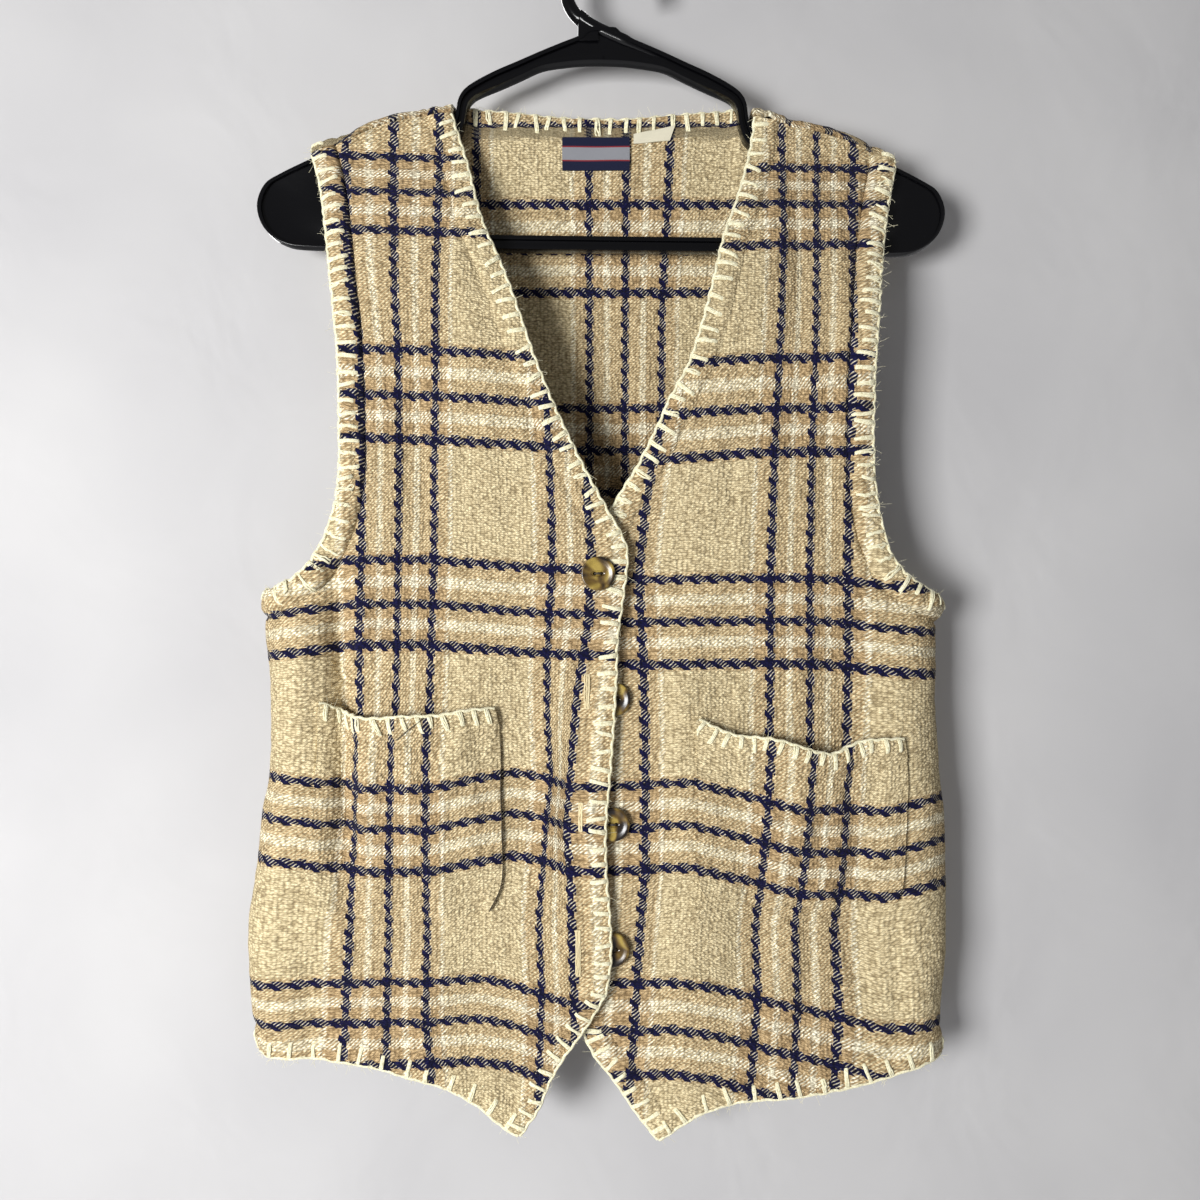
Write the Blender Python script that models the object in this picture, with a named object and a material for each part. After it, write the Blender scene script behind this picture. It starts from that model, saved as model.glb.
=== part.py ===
"""Button vest of checked homespun cotton, hung on a moulded plastic hanger.

Frame: metres, +Z up. The vest's front faces -Y and its wearer's left is at +X.
The origin is the crown of the hook's inside, where a rail carries the hanger.
Sizes below are in millimetres and become metres only where a mesh is made.
The cloth is a wall. Each panel is cut as a flat sheet in the X-Z plane between its
edge lines, and then laid over the shoulder ridge and round the side folds.
"""

import math
from collections import namedtuple

import bpy
import bmesh
from mathutils import Vector
from mathutils.bvhtree import BVHTree

MM = 0.001

# Cloth
WALL = 2.0            # homespun cotton with its turned edges pressed flat
SEAM_GAP = 0.3        # room between two pieces that are sewn together
BAND = 14.0           # width of the turned and blanket-stitched edge
BAND_RISE = 0.9       # how far the turned edge stands out of the cloth

# Body of the hung vest, from the hanger's middle plane to the middle of the wall
FRONT_DEPTH = 22.0
BACK_DEPTH = 20.0
RIDGE_RADIUS = 6.0    # the cloth's bend over the hanger's arms
NECK_STAND = 3.0      # how far the back of the neck stands behind that bend
SHOULDER_FALL = 130.0  # height over which the cloth swells to its full depth
SIDE_ROUND = 26.0     # how far in from the side the fold begins
NECK_X = 95.0         # where the shoulders end and the neck opening begins

# Front closure
LAP_RISE = 3.5        # the lapping front stands this far proud of its depth
UNDERLAP_SINK = 3.5   # and the one beneath lies this far behind its own
LAP_TOP = -290.0      # height at which the fronts start to part
LAP_CROSS = -340.0    # height at which one lies fully over the other
LAP_REACH = 46.0      # how far to each side the parting fades out

# Buttons and their places on the closure
Button = namedtuple("Button", "x z panel")
BUTTON_RADIUS = 10.2
BUTTON_THICK = 3.0
HOLE_RADIUS = 1.1
HOLE_PITCH = 4.2
BUTTONS = [
    Button(-3.0, -387.0, "over"),
    Button(6.5, -463.0, "under"),
    Button(6.0, -539.0, "under"),
    Button(6.0, -615.0, "under"),
]
BUTTON_ROOM = 0.5

# Patch pockets
POCKET_GAPE = 9.0     # how far the middle of the mouth hangs off the front
POCKET_CLEAR = 0.7    # room between the patch and the front it lies on

# Hanger
HANGER_MIDDLE = 0.5
HANGER_TILT = math.radians(0.66)
FLANGE_WIDTH = 8.0
FLANGE_THICK = 2.6
WEB_THICK = 3.0
HOOK_INNER = 18.9
HOOK_ROD = 8.2
HOOK_FOOT = (-6.0, -43.6)           # where the rod stands on the hanger's neck: x and z
HOOK_START = math.radians(240.0)
HOOK_END = math.radians(-8.0)

# Labels
LABEL_THICK = 0.8
LABEL_CLEAR = 0.3

# Shoulder ridge, the middle of the wall where it bends over the hanger: x and z
RIDGE = [
    (-182, -119), (-166, -113), (-147, -104), (-127, -97), (-110, -95), (-94, -93.5),
    (94, -95.5), (108, -99.5), (126, -103), (143, -107), (157, -112.5), (169, -119),
    (182, -126),
]
SHOULDER_END = 181.0
SHOULDER_KNOTS = (0, 2, 7, 14, 26, 47, 68, 86)  # seam points, in from the shoulder's end

# Lines of the pattern pieces in front view: x and z
ARMHOLE_RIGHT = [
    (-180, -127), (-175, -146), (-170, -176), (-166, -204), (-161, -245), (-159, -300),
    (-160, -334), (-166, -358), (-179, -382), (-196, -394), (-210.8, -398),
]
ARMHOLE_LEFT = [
    (181, -134), (177, -153), (173, -176), (169, -204), (164, -257), (163, -309),
    (165, -340), (172, -370), (182, -386), (196, -396), (210, -402),
]
SIDE_RIGHT = [
    (-210.8, -398), (-211, -420), (-208, -450), (-207, -487), (-208.5, -511), (-213, -535),
    (-216, -565), (-220.5, -600), (-221, -626), (-219.5, -648), (-216, -670), (-213.8, -681),
]
SIDE_LEFT = [
    (210, -402), (207, -420), (207.5, -448), (207, -465), (208, -488), (211, -519),
    (213.5, -550), (214, -597), (213.5, -625), (211, -648), (210.5, -665), (211, -682),
]
V_RIGHT = [
    (-91.5, -112), (-85, -132), (-75, -170), (-60, -205), (-42, -256),
    (-32, -281), (-21, -305), (-11, -325), (2, -349), (10, -363), (14, -376),
    (11.5, -400), (8, -425), (7, -455), (4, -502), (1, -535), (1, -565),
    (3, -590), (4, -618), (1, -640),
]
POINT_RIGHT = [(1, -640), (-9, -657), (-25, -680), (-33, -694), (-40, -711), (-51, -727.5)]
V_LEFT = [
    (93.5, -116), (89, -136), (82, -160), (75, -179), (65, -219),
    (54, -256), (41, -281), (33, -299), (23, -319), (13, -335), (4, -350),
    (-7, -368), (-12, -388), (-14, -433), (-14, -525), (-13.5, -600), (-12, -666),
]
POINT_LEFT = [(-12, -666), (-5, -680), (4, -691), (12, -702), (20, -714), (34, -731)]
HEM_RIGHT = [
    (-213.8, -681), (-182, -680.5), (-162, -682), (-137, -686), (-117, -692), (-99, -697),
    (-86, -703), (-73, -711), (-63, -720), (-51, -727.5),
]
HEM_LEFT = [
    (211, -682), (198, -684), (183, -688), (165, -694), (140, -700), (109, -704.5),
    (84, -706.5), (70, -710), (55, -716), (34, -731),
]
NECK_BACK = [
    (-86, -90), (-58, -92), (-29, -95), (-7, -96), (15, -96), (45, -93.5), (86, -90.5),
]

# Pocket edges in front view: x and z
POCKET_RIGHT_MOUTH = [(-173, -465), (-160, -471), (-142, -474), (-121, -473), (-98, -472),
                      (-81, -469.5), (-66, -469)]
POCKET_RIGHT_INNER = [(-66, -469), (-62.5, -489), (-62.5, -517), (-61.5, -552), (-62, -575),
                      (-69, -591)]
POCKET_RIGHT_OUTER = [(-173, -465), (-174, -500), (-177, -540), (-180, -575), (-175, -590)]
POCKET_RIGHT_FOOT = [(-175, -590), (-150, -593), (-121, -594), (-95, -594), (-69, -591)]
POCKET_LEFT_MOUTH = [(57, -475), (71, -481.5), (82, -485), (100, -486), (115, -490),
                     (126, -493.5), (137, -495.5), (147, -491.5), (159, -488), (181, -487)]
POCKET_LEFT_INNER = [(57, -475), (57, -510), (57, -545), (57.5, -573), (63, -583)]
POCKET_LEFT_OUTER = [(181, -487), (183.5, -510), (182.5, -545), (180, -578), (174, -588)]
POCKET_LEFT_FOOT = [(63, -583), (90, -586), (120, -589), (150, -590), (174, -588)]

# Soft folds of the fronts and the back: a trough is deeper into the body, a ridge stands out
Fold = namedtuple("Fold", "x_top z_top x_foot z_foot width rise")
FRONT_FOLDS = [
    Fold(-164, -385, -152, -610, 14.0, -5.5),   # the side turns back in a long valley
    Fold(-190, -390, -194, -610, 14.0, 1.5),    # and the ridge beside it
    Fold(-113, -240, -112, -400, 11.0, -2.5),
    Fold(-96, -110, -70, -330, 12.0, 2.0),
    Fold(-40, -380, -58, -640, 20.0, -3.0),
    Fold(-105, -600, -110, -700, 14.0, 3.5),
    Fold(-178, -600, -176, -700, 13.0, -3.5),
    Fold(123, -112, 120, -260, 10.0, -3.0),
    Fold(146, -130, 150, -330, 10.0, 2.0),
    Fold(152, -360, 150, -720, 17.0, -4.5),
    Fold(48, -380, 54, -720, 12.0, 3.5),
    Fold(88, -420, 92, -720, 14.0, -2.5),
    Fold(190, -420, 188, -690, 13.0, 1.5),
]
BACK_FOLDS = [
    Fold(-120, -180, -112, -660, 18.0, -3.5),
    Fold(-60, -300, -66, -690, 14.0, 2.5),
    Fold(4, -130, 8, -560, 20.0, 2.0),
    Fold(78, -260, 84, -690, 15.0, -3.0),
    Fold(140, -150, 132, -640, 16.0, 3.0),
]

# Half of the hanger, from the neck over the arm and lobe to the middle of the bar:
# distance from the middle and height of its outer edge and of its opening's edge
Station = namedtuple("Station", "outer_x outer_z inner_x inner_z")
HANGER_HALF = [
    Station(8, -44, 0, -64.5),
    Station(14, -49, 12, -64.8),
    Station(26, -54, 24, -66),
    Station(39, -59.5, 38, -68.5),
    Station(53, -65.8, 50, -74),
    Station(67, -72, 63, -80),
    Station(80, -79, 76, -85.5),
    Station(87, -84.5, 81.5, -89),
    Station(90.4, -91, 84.6, -94),
    Station(92, -101, 86.6, -105),
    Station(96, -109, 91, -115),
    Station(103, -111, 102, -119.5),
    Station(111, -109, 113, -118),
    Station(119, -106.5, 122, -118),
    Station(130, -107.5, 131, -124),
    Station(147, -113.5, 143, -132),
    Station(166, -121, 153, -140),
    Station(182, -128.5, 160, -147),
    Station(201, -138, 165, -154),
    Station(211, -145, 167.5, -160),
    Station(215.5, -158, 168, -166),
    Station(211, -172, 165, -171),
    Station(199, -181, 158, -174.5),
    Station(180, -183.5, 145, -175),
    Station(120, -183.5, 115, -175),
    Station(60, -183.5, 58, -175),
    Station(0, -183.5, 0, -175),
]


def clear_scene():
    for item in list(bpy.data.objects):
        bpy.data.objects.remove(item, do_unlink=True)


def linear(channel):
    """One sRGB channel from 0 to 1 as Blender's linear light"""
    return channel / 12.92 if channel <= 0.04045 else ((channel + 0.055) / 1.055) ** 2.4


def material(name, hex_colour, roughness, metallic=0.0):
    made = bpy.data.materials.new(name)
    made.use_nodes = True
    shader = made.node_tree.nodes["Principled BSDF"]
    rgb = [linear(int(hex_colour[i:i + 2], 16) / 255) for i in (1, 3, 5)]
    shader.inputs["Base Color"].default_value = (*rgb, 1.0)
    shader.inputs["Roughness"].default_value = roughness
    shader.inputs["Metallic"].default_value = metallic
    return made


def ease(t):
    """A smooth step from 0 to 1"""
    t = min(max(t, 0.0), 1.0)
    return t * t * (3 - 2 * t)


def smooth(points, steps=6):
    """A Catmull-Rom curve through the given points"""
    points = [Vector(p) for p in points]
    if len(points) == 2:
        return [points[0].lerp(points[1], i / steps) for i in range(steps + 1)]
    ends = [points[0] * 2 - points[1], *points, points[-1] * 2 - points[-2]]
    line = [points[0]]
    for a, b, c, d in zip(ends, ends[1:], ends[2:], ends[3:]):
        for i in range(1, steps + 1):
            t = i / steps
            bend = (2 * a - 5 * b + 4 * c - d) * t * t + (3 * b - a - 3 * c + d) * t ** 3
            line.append(0.5 * (2 * b + (c - a) * t + bend))
    return line


class Line:
    """An edge of one or more smooth runs, read by the share of its length"""

    def __init__(self, *runs):
        self.points = []
        for run in runs:
            curve = smooth(run)
            self.points += curve[1:] if self.points else curve
        self.reach = [0.0]
        for a, b in zip(self.points, self.points[1:]):
            self.reach.append(self.reach[-1] + (b - a).length)
        self.length = self.reach[-1]

    def at(self, share):
        target = min(max(share, 0.0), 1.0) * self.length
        for i in range(1, len(self.reach)):
            if self.reach[i] >= target:
                step = self.reach[i] - self.reach[i - 1]
                return self.points[i - 1].lerp(self.points[i], (target - self.reach[i - 1]) / step)
        return self.points[-1].copy()


def reader(table):
    """The second column of a table as a smooth function of its first"""
    curve = sorted(smooth(table), key=lambda p: p[0])

    def read(value):
        if value <= curve[0][0]:
            return curve[0][1]
        for a, b in zip(curve, curve[1:]):
            if value <= b[0]:
                return a[1] + (b[1] - a[1]) * (value - a[0]) / max(b[0] - a[0], 1e-6)
        return curve[-1][1]

    return read


ridge_right = reader([p for p in RIDGE if p[0] < 0])
ridge_left = reader([p for p in RIDGE if p[0] > 0])
side_right = reader([(z, x) for x, z in SIDE_RIGHT])
side_left = reader([(z, x) for x, z in SIDE_LEFT])


def spring(x):
    """Height at which the cloth leaves the bend over the hanger's arm"""
    ridge = ridge_right(x) if x < 0 else ridge_left(x)
    return ridge - RIDGE_RADIUS


def seam_height(x):
    """Height of the shoulder seam, straight between its knots"""
    side = -1 if x < 0 else 1
    inset = SHOULDER_END - abs(x)
    for a, b in zip(SHOULDER_KNOTS, SHOULDER_KNOTS[1:]):
        if inset <= b:
            low, high = spring(side * (SHOULDER_END - a)), spring(side * (SHOULDER_END - b))
            return low + (high - low) * (inset - a) / (b - a)
    return spring(side * (SHOULDER_END - SHOULDER_KNOTS[-1]))


def side_fade(x, z):
    """0 on the side fold and 1 where the panel has its full depth"""
    inset = x - side_right(z) if x < 0 else side_left(z) - x
    t = min(max(inset / SIDE_ROUND, 0.0), 1.0)
    return math.sqrt(1 - (1 - t) ** 2)


def fold_rise(folds, x, z):
    rise = 0.0
    for f in folds:
        run = Vector((f.x_foot - f.x_top, f.z_foot - f.z_top))
        away = Vector((x - f.x_top, z - f.z_top))
        along = away.dot(run) / run.length_squared
        across = abs(away.x * run.y - away.y * run.x) / run.length
        if 0 < along < 1:
            rise += f.rise * ease(3 * along) * ease(3 - 3 * along) * math.exp(-(across / f.width) ** 2)
    return rise


def front_y(x, z, lap=0.0):
    """Depth of a front; lap is 1 on the lapping front and -1 on the one beneath"""
    full = ease((spring(x) - z) / SHOULDER_FALL)
    depth = RIDGE_RADIUS + (FRONT_DEPTH - RIDGE_RADIUS) * full + full * fold_rise(FRONT_FOLDS, x, z)
    parting = ease((LAP_TOP - z) / (LAP_TOP - LAP_CROSS)) * ease(1 - (abs(x) - 14) / LAP_REACH)
    depth += parting * (LAP_RISE if lap > 0 else -UNDERLAP_SINK if lap < 0 else 0.0)
    edge = SEAM_GAP / 2
    return -(edge + (depth - edge) * side_fade(x, z))


def back_y(x, z):
    neck = ease((NECK_X - 4 - abs(x)) / 12)
    top = RIDGE_RADIUS + NECK_STAND * neck
    full = ease((spring(x) - z) / SHOULDER_FALL)
    depth = top + (BACK_DEPTH - top) * full + full * fold_rise(BACK_FOLDS, x, z)
    edge = SEAM_GAP / 2
    return edge + (depth - edge) * side_fade(x, z)


def front_point(x, z, lap):
    return Vector((x, front_y(x, z, lap), z))


def back_point(x, z):
    """The back's cut laid over the ridge: what reaches above the spring bends forward"""
    over = z - spring(x)
    straight = Vector((x, back_y(x, z), z))
    if over <= 0:
        return straight
    turn = over / RIDGE_RADIUS
    bent = Vector((x, RIDGE_RADIUS * math.cos(turn), spring(x) + RIDGE_RADIUS * math.sin(turn)))
    return straight.lerp(bent, ease((abs(x) - (NECK_X - 4)) / 2.5))


def spanned(top, foot, left, right, u, v):
    """A point of the flat sheet spanned by its four edges"""
    across = left(v) * (1 - u) + right(v) * u
    down = top(u) * (1 - v) + foot(u) * v
    corners = (top(0) * (1 - u) + top(1) * u) * (1 - v) + (foot(0) * (1 - u) + foot(1) * u) * v
    return across + down - corners


def shares(length, first, last, inner):
    """Shares of a length: set distances from both ends, with inner places between"""
    start = [d / length for d in first]
    end = [1 - d / length for d in reversed(last)]
    return start + [start[-1] + (end[0] - start[-1]) * t for t in inner] + end


def even(count):
    return [i / count for i in range(1, count)]


def slope(grid, i, j, down):
    """Unit step of a grid along its rows or columns"""
    rows, columns = len(grid), len(grid[0])
    if down:
        step = grid[min(i + 1, rows - 1)][j] - grid[max(i - 1, 0)][j]
    else:
        step = grid[i][min(j + 1, columns - 1)] - grid[i][max(j - 1, 0)]
    return step.normalized()


def wall(name, grid, outward, look, rise=None, normals=None, thick=WALL):
    """A closed wall on a grid of points; rise(i, j) lifts its outer side"""
    rows, columns = len(grid), len(grid[0])
    bm = bmesh.new()
    layers = ([], [])
    for i in range(rows):
        for j in range(columns):
            normal = normals(i, j) if normals else None
            if normal is None:
                normal = slope(grid, i, j, False).cross(slope(grid, i, j, True)).normalized()
                if normal.dot(outward) < 0:
                    normal.negate()
            lift = rise(i, j) if rise else 0.0
            layers[0].append(bm.verts.new((grid[i][j] + normal * (thick / 2 + lift)) * MM))
            layers[1].append(bm.verts.new((grid[i][j] - normal * (thick / 2)) * MM))

    def at(layer, i, j):
        return layers[layer][i * columns + j]

    for i in range(rows - 1):
        for j in range(columns - 1):
            bm.faces.new([at(0, i, j), at(0, i, j + 1), at(0, i + 1, j + 1), at(0, i + 1, j)])
            bm.faces.new([at(1, i, j), at(1, i + 1, j), at(1, i + 1, j + 1), at(1, i, j + 1)])
    border = [(0, j) for j in range(columns)]
    border += [(i, columns - 1) for i in range(1, rows)]
    border += [(rows - 1, j) for j in range(columns - 2, -1, -1)]
    border += [(i, 0) for i in range(rows - 2, 0, -1)]
    for a, b in zip(border, border[1:] + border[:1]):
        bm.faces.new([at(0, *b), at(0, *a), at(1, *a), at(1, *b)])
    return finish(name, bm, look)


def finish(name, bm, look):
    bmesh.ops.recalc_face_normals(bm, faces=bm.faces)
    mesh = bpy.data.meshes.new(name)
    bm.to_mesh(mesh)
    bm.free()
    mesh.shade_smooth()
    mesh.set_sharp_from_angle(angle=math.radians(40))
    mesh.materials.append(look)
    made = bpy.data.objects.new(name, mesh)
    bpy.context.scene.collection.objects.link(made)
    return made


SIDE_STEPS = (0, 2, 7, BAND, SIDE_ROUND)
EDGE_STEPS = (0, 6, BAND, 18)
ARM_ROWS = 14
SEAM_ROWS = 13


def edge_rows(run_length, top_steps):
    """Row places of a panel: half of them down the armhole and half down the side seam"""
    arm = shares(run_length, top_steps, (0,), even(ARM_ROWS))
    seam = shares(280, (0,), EDGE_STEPS, even(SEAM_ROWS))
    return [v / 2 for v in arm] + [0.5 + v / 2 for v in seam[1:]]


def side_edge(armhole, seam):
    """A panel's side: its armhole for the first half of v and its seam for the rest"""
    return lambda v: armhole.at(2 * v) if v < 0.5 else seam.at(2 * v - 1)


def seam_normal(grid, i, j):
    """Outward normal on a side fold, level with the seam's rim"""
    run = slope(grid, i, j, True)
    normal = run.cross(Vector((0, 1, 0))).normalized()
    if normal.x * grid[i][j].x < 0:
        normal.negate()
    return normal


def shoulder_seam(side, shift):
    """The seam below the ridge as a function of u, from the arm's end to the neck"""

    def at(u):
        x = side * (SHOULDER_END + (NECK_X - SHOULDER_END) * u)
        return Vector((x, seam_height(x) + shift))

    return at


def front_panel(name, side, armhole, seam, centre, point, hem, lap, look):
    top_at = shoulder_seam(side, -SEAM_GAP / 2)
    arm_line = Line([top_at(0), *armhole])
    centre_line = Line([top_at(1), *centre], point)
    hem_line = Line(hem)
    rows = edge_rows(arm_line.length, (0,))
    side_at = side_edge(arm_line, Line(seam))
    grid = []
    for v in rows:
        width = abs(centre_line.at(v).x - side_at(v).x)
        row = []
        for u in shares(width, SIDE_STEPS, EDGE_STEPS, even(10)):
            x, z = spanned(top_at, hem_line.at, side_at, centre_line.at, u, v)
            row.append(front_point(x, z, lap))
        grid.append(row)
    fold_row = rows.index(0.5)
    columns = len(grid[0])

    def rise(i, j):
        on_armhole = i < fold_row and j < 3
        on_edge = j >= columns - 3
        on_hem = i >= len(rows) - 3
        return BAND_RISE if on_armhole or on_edge or on_hem else 0.0

    def normals(i, j):
        if i == 0:
            return Vector((0, -1, 0))
        if j == 0 and i >= fold_row:
            return seam_normal(grid, i, j)
        return None

    return wall(name, grid, Vector((0, -1, 0)), look, rise, normals)


def make_fronts(look):
    right = front_panel("front_right", -1, ARMHOLE_RIGHT, SIDE_RIGHT, V_RIGHT, POINT_RIGHT,
                        HEM_RIGHT, 1.0, look)
    left = front_panel("front_left", 1, ARMHOLE_LEFT, SIDE_LEFT, V_LEFT, POINT_LEFT,
                       HEM_LEFT, -1.0, look)
    return right, left


def make_back(look):
    wrap = math.pi * RIDGE_RADIUS - SEAM_GAP / 2
    right_at = shoulder_seam(-1, wrap)
    left_at = shoulder_seam(1, wrap)
    neck_right = [right_at(1), (-94.7, spring(-94) + 9.4), (-94.1, spring(-94)), NECK_BACK[0]]
    neck_left = [NECK_BACK[-1], (94.1, spring(94)), (94.7, spring(94) + 9.4), left_at(1)]
    right_spring = Vector((-SHOULDER_END, spring(-SHOULDER_END)))
    left_spring = Vector((SHOULDER_END, spring(SHOULDER_END)))
    arm_right = Line([right_at(0), right_spring], [right_spring, *ARMHOLE_RIGHT])
    arm_left = Line([left_at(0), left_spring], [left_spring, *ARMHOLE_LEFT])
    neck_lines = (Line(neck_right), Line(NECK_BACK), Line(neck_left))
    shoulder = (SHOULDER_END - NECK_X) / (2 * SHOULDER_END)
    turn = 0.024
    turns = (shoulder, shoulder + turn, 1 - shoulder - turn, 1 - shoulder)

    def top_at(u):
        if u <= shoulder:
            return right_at(u / shoulder)
        if u >= 1 - shoulder:
            return left_at((1 - u) / shoulder)
        for line, start, end in zip(neck_lines, turns, turns[1:]):
            if u <= end:
                return line.at((u - start) / (end - start))

    hem_line = Line([SIDE_RIGHT[-1], SIDE_LEFT[-1]])
    side_at = side_edge(arm_right, Line(SIDE_RIGHT))
    other_at = side_edge(arm_left, Line(SIDE_LEFT))
    rows = edge_rows(arm_right.length, (0, 4.7, 9.4, 14.1, 18.8, 23.5))
    inner = [d / (2 * SHOULDER_END) for d in SHOULDER_KNOTS[-3:]]
    inner += [shoulder + turn * t for t in (1 / 3, 2 / 3, 1)] + [0.30, 0.36, 0.43]
    inner += [0.5] + [1 - u for u in reversed(inner)]
    grid = []
    for v in rows:
        width = abs(other_at(v).x - side_at(v).x)
        edge = [d / width for d in SIDE_STEPS]
        row = []
        for u in edge + inner + [1 - u for u in reversed(edge)]:
            x, z = spanned(top_at, hem_line.at, side_at, other_at, u, v)
            row.append(back_point(x, z))
        grid.append(row)
    fold_row = rows.index(0.5)
    columns = len(grid[0])
    shoulder_columns = len(SIDE_STEPS) + 3

    def rise(i, j):
        on_armhole = i < fold_row and (j < 3 or j >= columns - 3)
        on_neck = i < 4 and shoulder_columns <= j < columns - shoulder_columns
        on_hem = i >= len(rows) - 3
        return BAND_RISE if on_armhole or on_neck or on_hem else 0.0

    def normals(i, j):
        if i == 0 and (j < shoulder_columns or j >= columns - shoulder_columns):
            return Vector((0, -1, 0))
        if j in (0, columns - 1) and i >= fold_row:
            return seam_normal(grid, i, j)
        if i < 5 and (j < shoulder_columns or j >= columns - shoulder_columns):
            x, y, z = grid[i][j]
            return Vector((0, y, z - spring(x))).normalized()
        return None

    wall("back", grid, Vector((0, 1, 0)), look, rise, normals)


def face_of(panel):
    """The panel's outer side as a function of x and z"""
    mesh = panel.data
    tree = BVHTree.FromPolygons([v.co for v in mesh.vertices], [p.vertices for p in mesh.polygons])

    def depth(x, z):
        hit = tree.ray_cast(Vector((x * MM, -1, z * MM)), Vector((0, 1, 0)))[0]
        return hit.y / MM

    return depth


def pocket(name, mouth, outer, inner, foot, panel, look):
    """A patch laid on its front, hanging a little open at the mouth"""
    lies_on = face_of(panel)
    if mouth[0][0] > 0:
        left_edge, right_edge = Line(inner), Line(outer)
    else:
        left_edge, right_edge = Line(outer), Line(inner)
    mouth_line = Line(mouth)
    foot_line = Line(foot)
    rows = shares(112, (0, 6, BAND), (0, 5), even(7))
    columns = shares(112, (0, 5), (0, 5), even(8))
    grid = []
    for v in rows:
        row = []
        for u in columns:
            x, z = spanned(mouth_line.at, foot_line.at, left_edge.at, right_edge.at, u, v)
            gape = POCKET_GAPE * math.sin(math.pi * u) ** 0.8 * (1 - v) ** 0.8
            row.append(Vector((x, lies_on(x, z) - WALL / 2 - POCKET_CLEAR - gape, z)))
        grid.append(row)
    wall(name, grid, Vector((0, -1, 0)), look, lambda i, j: BAND_RISE if i < 3 else 0.0)


def label(name, corners, look, counts=(5, 2), twist=0.0):
    """A woven label on the inside of the back; corners run round from the top left"""
    a, b, c, d = [Vector(p) for p in corners]
    grid = []
    for i in range(counts[1] + 1):
        v = i / counts[1]
        row = []
        for j in range(counts[0] + 1):
            u = j / counts[0]
            x, z = a.lerp(b, u).lerp(d.lerp(c, u), v)
            off = (WALL + LABEL_THICK) / 2 + LABEL_CLEAR + twist * u
            row.append(Vector((x, back_y(x, z) - off, z)))
        grid.append(row)
    wall(name, grid, Vector((0, -1, 0)), look, thick=LABEL_THICK)


def make_button(name, place, look):
    """A turned disc with a dished face and two sewing holes"""
    lap = 1.0 if place.panel == "over" else -1.0
    edges = [front_y(place.x + dx, place.z + dz, lap) for dx in (-9, 0, 9) for dz in (-9, 0, 9)]
    seat = min(edges) - WALL / 2 - BAND_RISE - BUTTON_ROOM
    profile = [
        (0.0, 0.0), (8.6, 0.0), (BUTTON_RADIUS, 0.9), (BUTTON_RADIUS, 1.8), (9.4, BUTTON_THICK),
        (8.0, BUTTON_THICK), (6.6, 2.2), (0.0, 2.0),
    ]
    bm = bmesh.new()
    previous = None
    line = []
    for radius, height in profile:
        line.append(bm.verts.new((place.x * MM + radius * MM, (seat - height) * MM, place.z * MM)))
        if previous:
            bm.edges.new((previous, line[-1]))
        previous = line[-1]
    bmesh.ops.spin(bm, geom=bm.verts[:] + bm.edges[:], cent=(place.x * MM, 0, place.z * MM),
                   axis=(0, 1, 0), angle=math.tau, steps=20, use_merge=True, use_duplicate=False)
    bmesh.ops.remove_doubles(bm, verts=bm.verts, dist=1e-6)
    made = finish(name, bm, look)
    middle = seat - BUTTON_THICK / 2
    for side in (-1, 1):
        bpy.ops.mesh.primitive_cylinder_add(
            vertices=8, radius=HOLE_RADIUS * MM, depth=4 * BUTTON_THICK * MM,
            location=((place.x + side * HOLE_PITCH / 2) * MM, middle * MM, place.z * MM),
            rotation=(math.pi / 2, 0, 0))
        cutter = bpy.context.object
        cutter.name = f"{name}_hole_{side}"
        cutter.hide_render = True
        cutter.display_type = "WIRE"
        cut = made.modifiers.new("hole", "BOOLEAN")
        cut.operation = "DIFFERENCE"
        cut.object = cutter


def hanger_section(outer, inner, radial):
    """Twelve corners of the moulded I-section between the two edges of the hanger"""
    f, t, w = FLANGE_WIDTH / 2, FLANGE_THICK, WEB_THICK / 2
    width = (inner - outer).length
    t = min(t, width / 3)
    shape = [(0, f), (t, f), (t, w), (width - t, w), (width - t, f), (width, f),
             (width, -f), (width - t, -f), (width - t, -w), (t, -w), (t, -f), (0, -f)]
    return [Vector((outer.x + radial.x * a, y, outer.y + radial.y * a)) for a, y in shape]


def tilted(point):
    """The hanger swings a little about the hook's crown"""
    c, s = math.cos(HANGER_TILT), math.sin(HANGER_TILT)
    x, y, z = point.x + HANGER_MIDDLE, point.y, point.z
    return Vector((x * c + z * s, y, z * c - x * s))


def make_hanger(look):
    mirrored = [Station(-s.outer_x, s.outer_z, -s.inner_x, s.inner_z) for s in HANGER_HALF[-2::-1]]
    bm = bmesh.new()
    rings = []
    for s in HANGER_HALF + mirrored:
        outer, inner = Vector((s.outer_x, s.outer_z)), Vector((s.inner_x, s.inner_z))
        radial = (inner - outer).normalized()
        ring = [bm.verts.new(tilted(p) * MM) for p in hanger_section(outer, inner, radial)]
        rings.append(ring)
    sides = len(rings[0])
    for ring, following in zip(rings, rings[1:] + rings[:1]):
        for k in range(sides):
            n = (k + 1) % sides
            bm.faces.new([ring[k], ring[n], following[n], following[k]])
    bmesh.ops.remove_doubles(bm, verts=bm.verts, dist=1e-6)
    finish("hanger", bm, look)


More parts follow.
